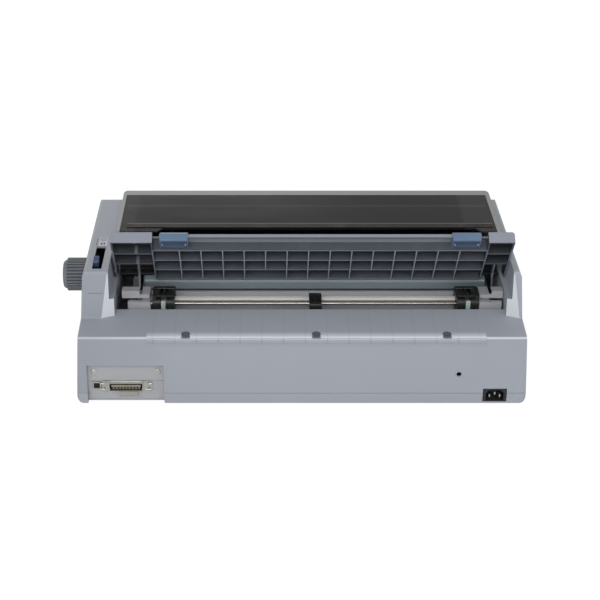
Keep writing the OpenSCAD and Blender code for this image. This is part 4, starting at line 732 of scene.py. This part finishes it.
def clip_pins(side):
    """Dark framed panel with a rivet at each end on the underside of one edge guide.

    It is drawn flat about the guide's hinge and then tipped into the raised guide.
    """
    u0, u1, v, margin, rim, depth = 80.6, 98.6, -0.2, 1.4, 2.2, 0.45
    pin_margin, pin_u, pin_radius = 3.4, 8.6, 1.1
    low, high, mid = corners(side + "_edge_guide")
    body = side + "_edge_guide_body"
    panel = block("rim", (low.x + margin, u0, v - 0.6), (high.x - margin, u1, v + 0.2))
    recess(panel, DOWN, rim, (0, 0, depth), (mid.x, (u0 + u1) / 2, v), (2, 2, ANY))
    panel = join(side + "_clip_frame", [soften(panel, 0.12)])
    done(moved(panel, GUIDE_PIVOT, GUIDE_TILT), "clip", body)
    pins = []
    for x in (low.x + pin_margin, high.x - pin_margin):
        pin = rod("pin", (x, u0 + pin_u, v + 0.1), (x, u0 + pin_u, v - 1.2), pin_radius, 20)
        pins.append(soften(pin, 0.2))
    pins = join(side + "_clip_rivets", pins)
    done(moved(pins, GUIDE_PIVOT, GUIDE_TILT), "button", body)


def lever_pad():
    """Raised pad with two sheet marks in front of the release lever's slot."""
    top, x, y, half_width, half_length = 175.5, 276.4, 50.8, 6.0, 13.8
    mark_half_width, mark_half_length, mark_depth = 3.0, 3.2, 0.19
    pad = block("lever_pad", (x - half_width, y - half_length, top - 0.3),
                (x + half_width, y + half_length, top + 0.35))
    recess(pad, UP, 0.8, (0, 0, -0.15), (x, y, top), (2, 2, ANY))
    done(soften(pad, 0.2), "button", "case")
    marks = []
    for mark_y, thick in ((43.6, 0.5), (57.6, 1.5)):
        mark = block("mark", (x - mark_half_width, mark_y - mark_half_length, top + 0.1),
                     (x + mark_half_width, mark_y + mark_half_length, top + 0.3))
        recess(mark, UP, thick, (0, 0, -mark_depth), (x, mark_y, top), (1, 1, ANY))
        marks.append(mark)
    marks.append(soften(block("arc_line", (284.7, 38, top - 0.2), (285.5, 63, top + 0.12)), 0.05))
    done(join("lever_marks", marks), "ink", "case")


def onto_panel(obj):
    """Moves a piece drawn flat about the panel's middle onto the front slope."""
    run, rise, along = 97.0, 113.5, 74.0
    panel_x, slope_foot_y, slope_foot_z = -170.0, -201.0, 62.0
    length = math.hypot(run, rise)
    place = Vector((panel_x, slope_foot_y + along * run / length, slope_foot_z + along * rise / length))
    return moved(obj, place, math.atan2(rise, run))


def panel_lamps():
    """Domed lamp lenses on the control panel and a plain tick beside each button."""
    lamps, lamp_x, lamp_pitch, lamp_y, lamp_radius, lamp_top = 5, -61, 7, 9, 1.45, 1.1
    buttons, button_x, button_pitch, tick_half = 4, -51, 34, 6
    lenses = []
    for k in range(lamps):
        x = lamp_x + k * lamp_pitch
        lens = rod("lens", (x, lamp_y, 1.7), (x, lamp_y, 2.5), lamp_radius, 24, lamp_top)
        lenses.append(soften(lens, 0.3))
    done(onto_panel(join("panel_lamp_lenses", lenses)), "lens", "case")
    ticks = []
    for k in range(buttons):
        x = button_x + k * button_pitch
        tick = block("tick", (x - tick_half, 3.2, 1.3), (x + tick_half, 3.8, 1.55))
        inset(tick, looks(UP), 0.12)
        ticks.append(tick)
    done(onto_panel(join("panel_ticks", ticks)), "button", "case")


screws()
contacts()
inlet_blades()
small_port()
finger_dimples()
plate_tab()
clip_pins("left")
clip_pins("right")
lever_pad()
panel_lamps()


# ---- stage, light and camera; sizes in metres ----

FLOOR_SIZE = 14.0
FLOOR_GLOW = 1.12                            # strength at which the camera sees a white floor
FLOOR_SHOWN, FLOOR_REFLECTED = 0.84, 0.3     # share of the glow, the rest takes the shadow
SKY_LEVEL = 0.46
AIM = (0, 0.1, 0.1)
VIEW_TILT, VIEW_TURN = 63.5, 180


def floor_finish():
    """A pale floor that keeps the shadow and looks white to the camera."""
    f = Finish("pale_floor", (0.82, 0.82, 0.82, 1), 0.9)
    glow = f.add("ShaderNodeEmission", {}, (1, 1, 1, 1), FLOOR_GLOW)
    seen = (f.add("ShaderNodeLightPath", {}, out="Is Camera Ray")
            + f.add("ShaderNodeLightPath", {}, out="Is Glossy Ray") * FLOOR_REFLECTED)
    plain = Value(f, f.shader.outputs[0])
    mixed = f.add("ShaderNodeMixShader", {}, seen * FLOOR_SHOWN, plain, glow)
    f.tree.links.new(mixed.socket, f.tree.nodes["Material Output"].inputs[0])
    return f.material


bpy.ops.object.select_all(action="DESELECT")
bpy.ops.mesh.primitive_plane_add(size=FLOOR_SIZE, location=(0, 0, 0))
floor = bpy.context.object
floor.name = "floor"
floor.data.materials.append(floor_finish())

world = bpy.data.worlds.new("studio")
scene.world = world
world.use_nodes = True
sky = world.node_tree.nodes["Background"]
sky.inputs[0].default_value = (1, 1, 1, 1)
path = world.node_tree.nodes.new("ShaderNodeLightPath")
level = world.node_tree.nodes.new("ShaderNodeMapRange")
world.node_tree.links.new(path.outputs["Is Camera Ray"], level.inputs[0])
level.inputs["To Min"].default_value = SKY_LEVEL
level.inputs["To Max"].default_value = 1.0
world.node_tree.links.new(level.outputs[0], sky.inputs[1])


def area_light(name, place, aim, size, watts):
    """A rectangular lamp at a place, turned to what it lights."""
    lamp = bpy.data.lights.new(name, "AREA")
    lamp.shape = "RECTANGLE"
    lamp.size, lamp.size_y = size
    lamp.energy = watts
    holder = bpy.data.objects.new(name, lamp)
    scene.collection.objects.link(holder)
    holder.location = place
    holder.rotation_euler = (Vector(aim) - Vector(place)).to_track_quat("-Z", "Y").to_euler()


area_light("rear_key", (0.4, 2.9, 2.2), AIM, (2.0, 1.2), 38)
area_light("left_side", (2.4, 1.7, 0.9), AIM, (1.4, 1.2), 6)
area_light("right_side", (-2.4, 1.7, 0.9), AIM, (1.4, 1.2), 11)
area_light("front_low", (0.8, -2.8, 0.7), (0, 0, 0.1), (2.0, 0.8), 12)

eye = bpy.data.cameras.new("view")
eye.lens = 91.38
eye.sensor_width = 36.0
eye.shift_x = 0.06
camera = bpy.data.objects.new("view", eye)
scene.collection.objects.link(camera)
camera.location = (0.0512, 1.9998, 1.0560)
camera.rotation_euler = (math.radians(VIEW_TILT), 0, math.radians(VIEW_TURN))
scene.camera = camera
scene.view_settings.view_transform = "Standard"
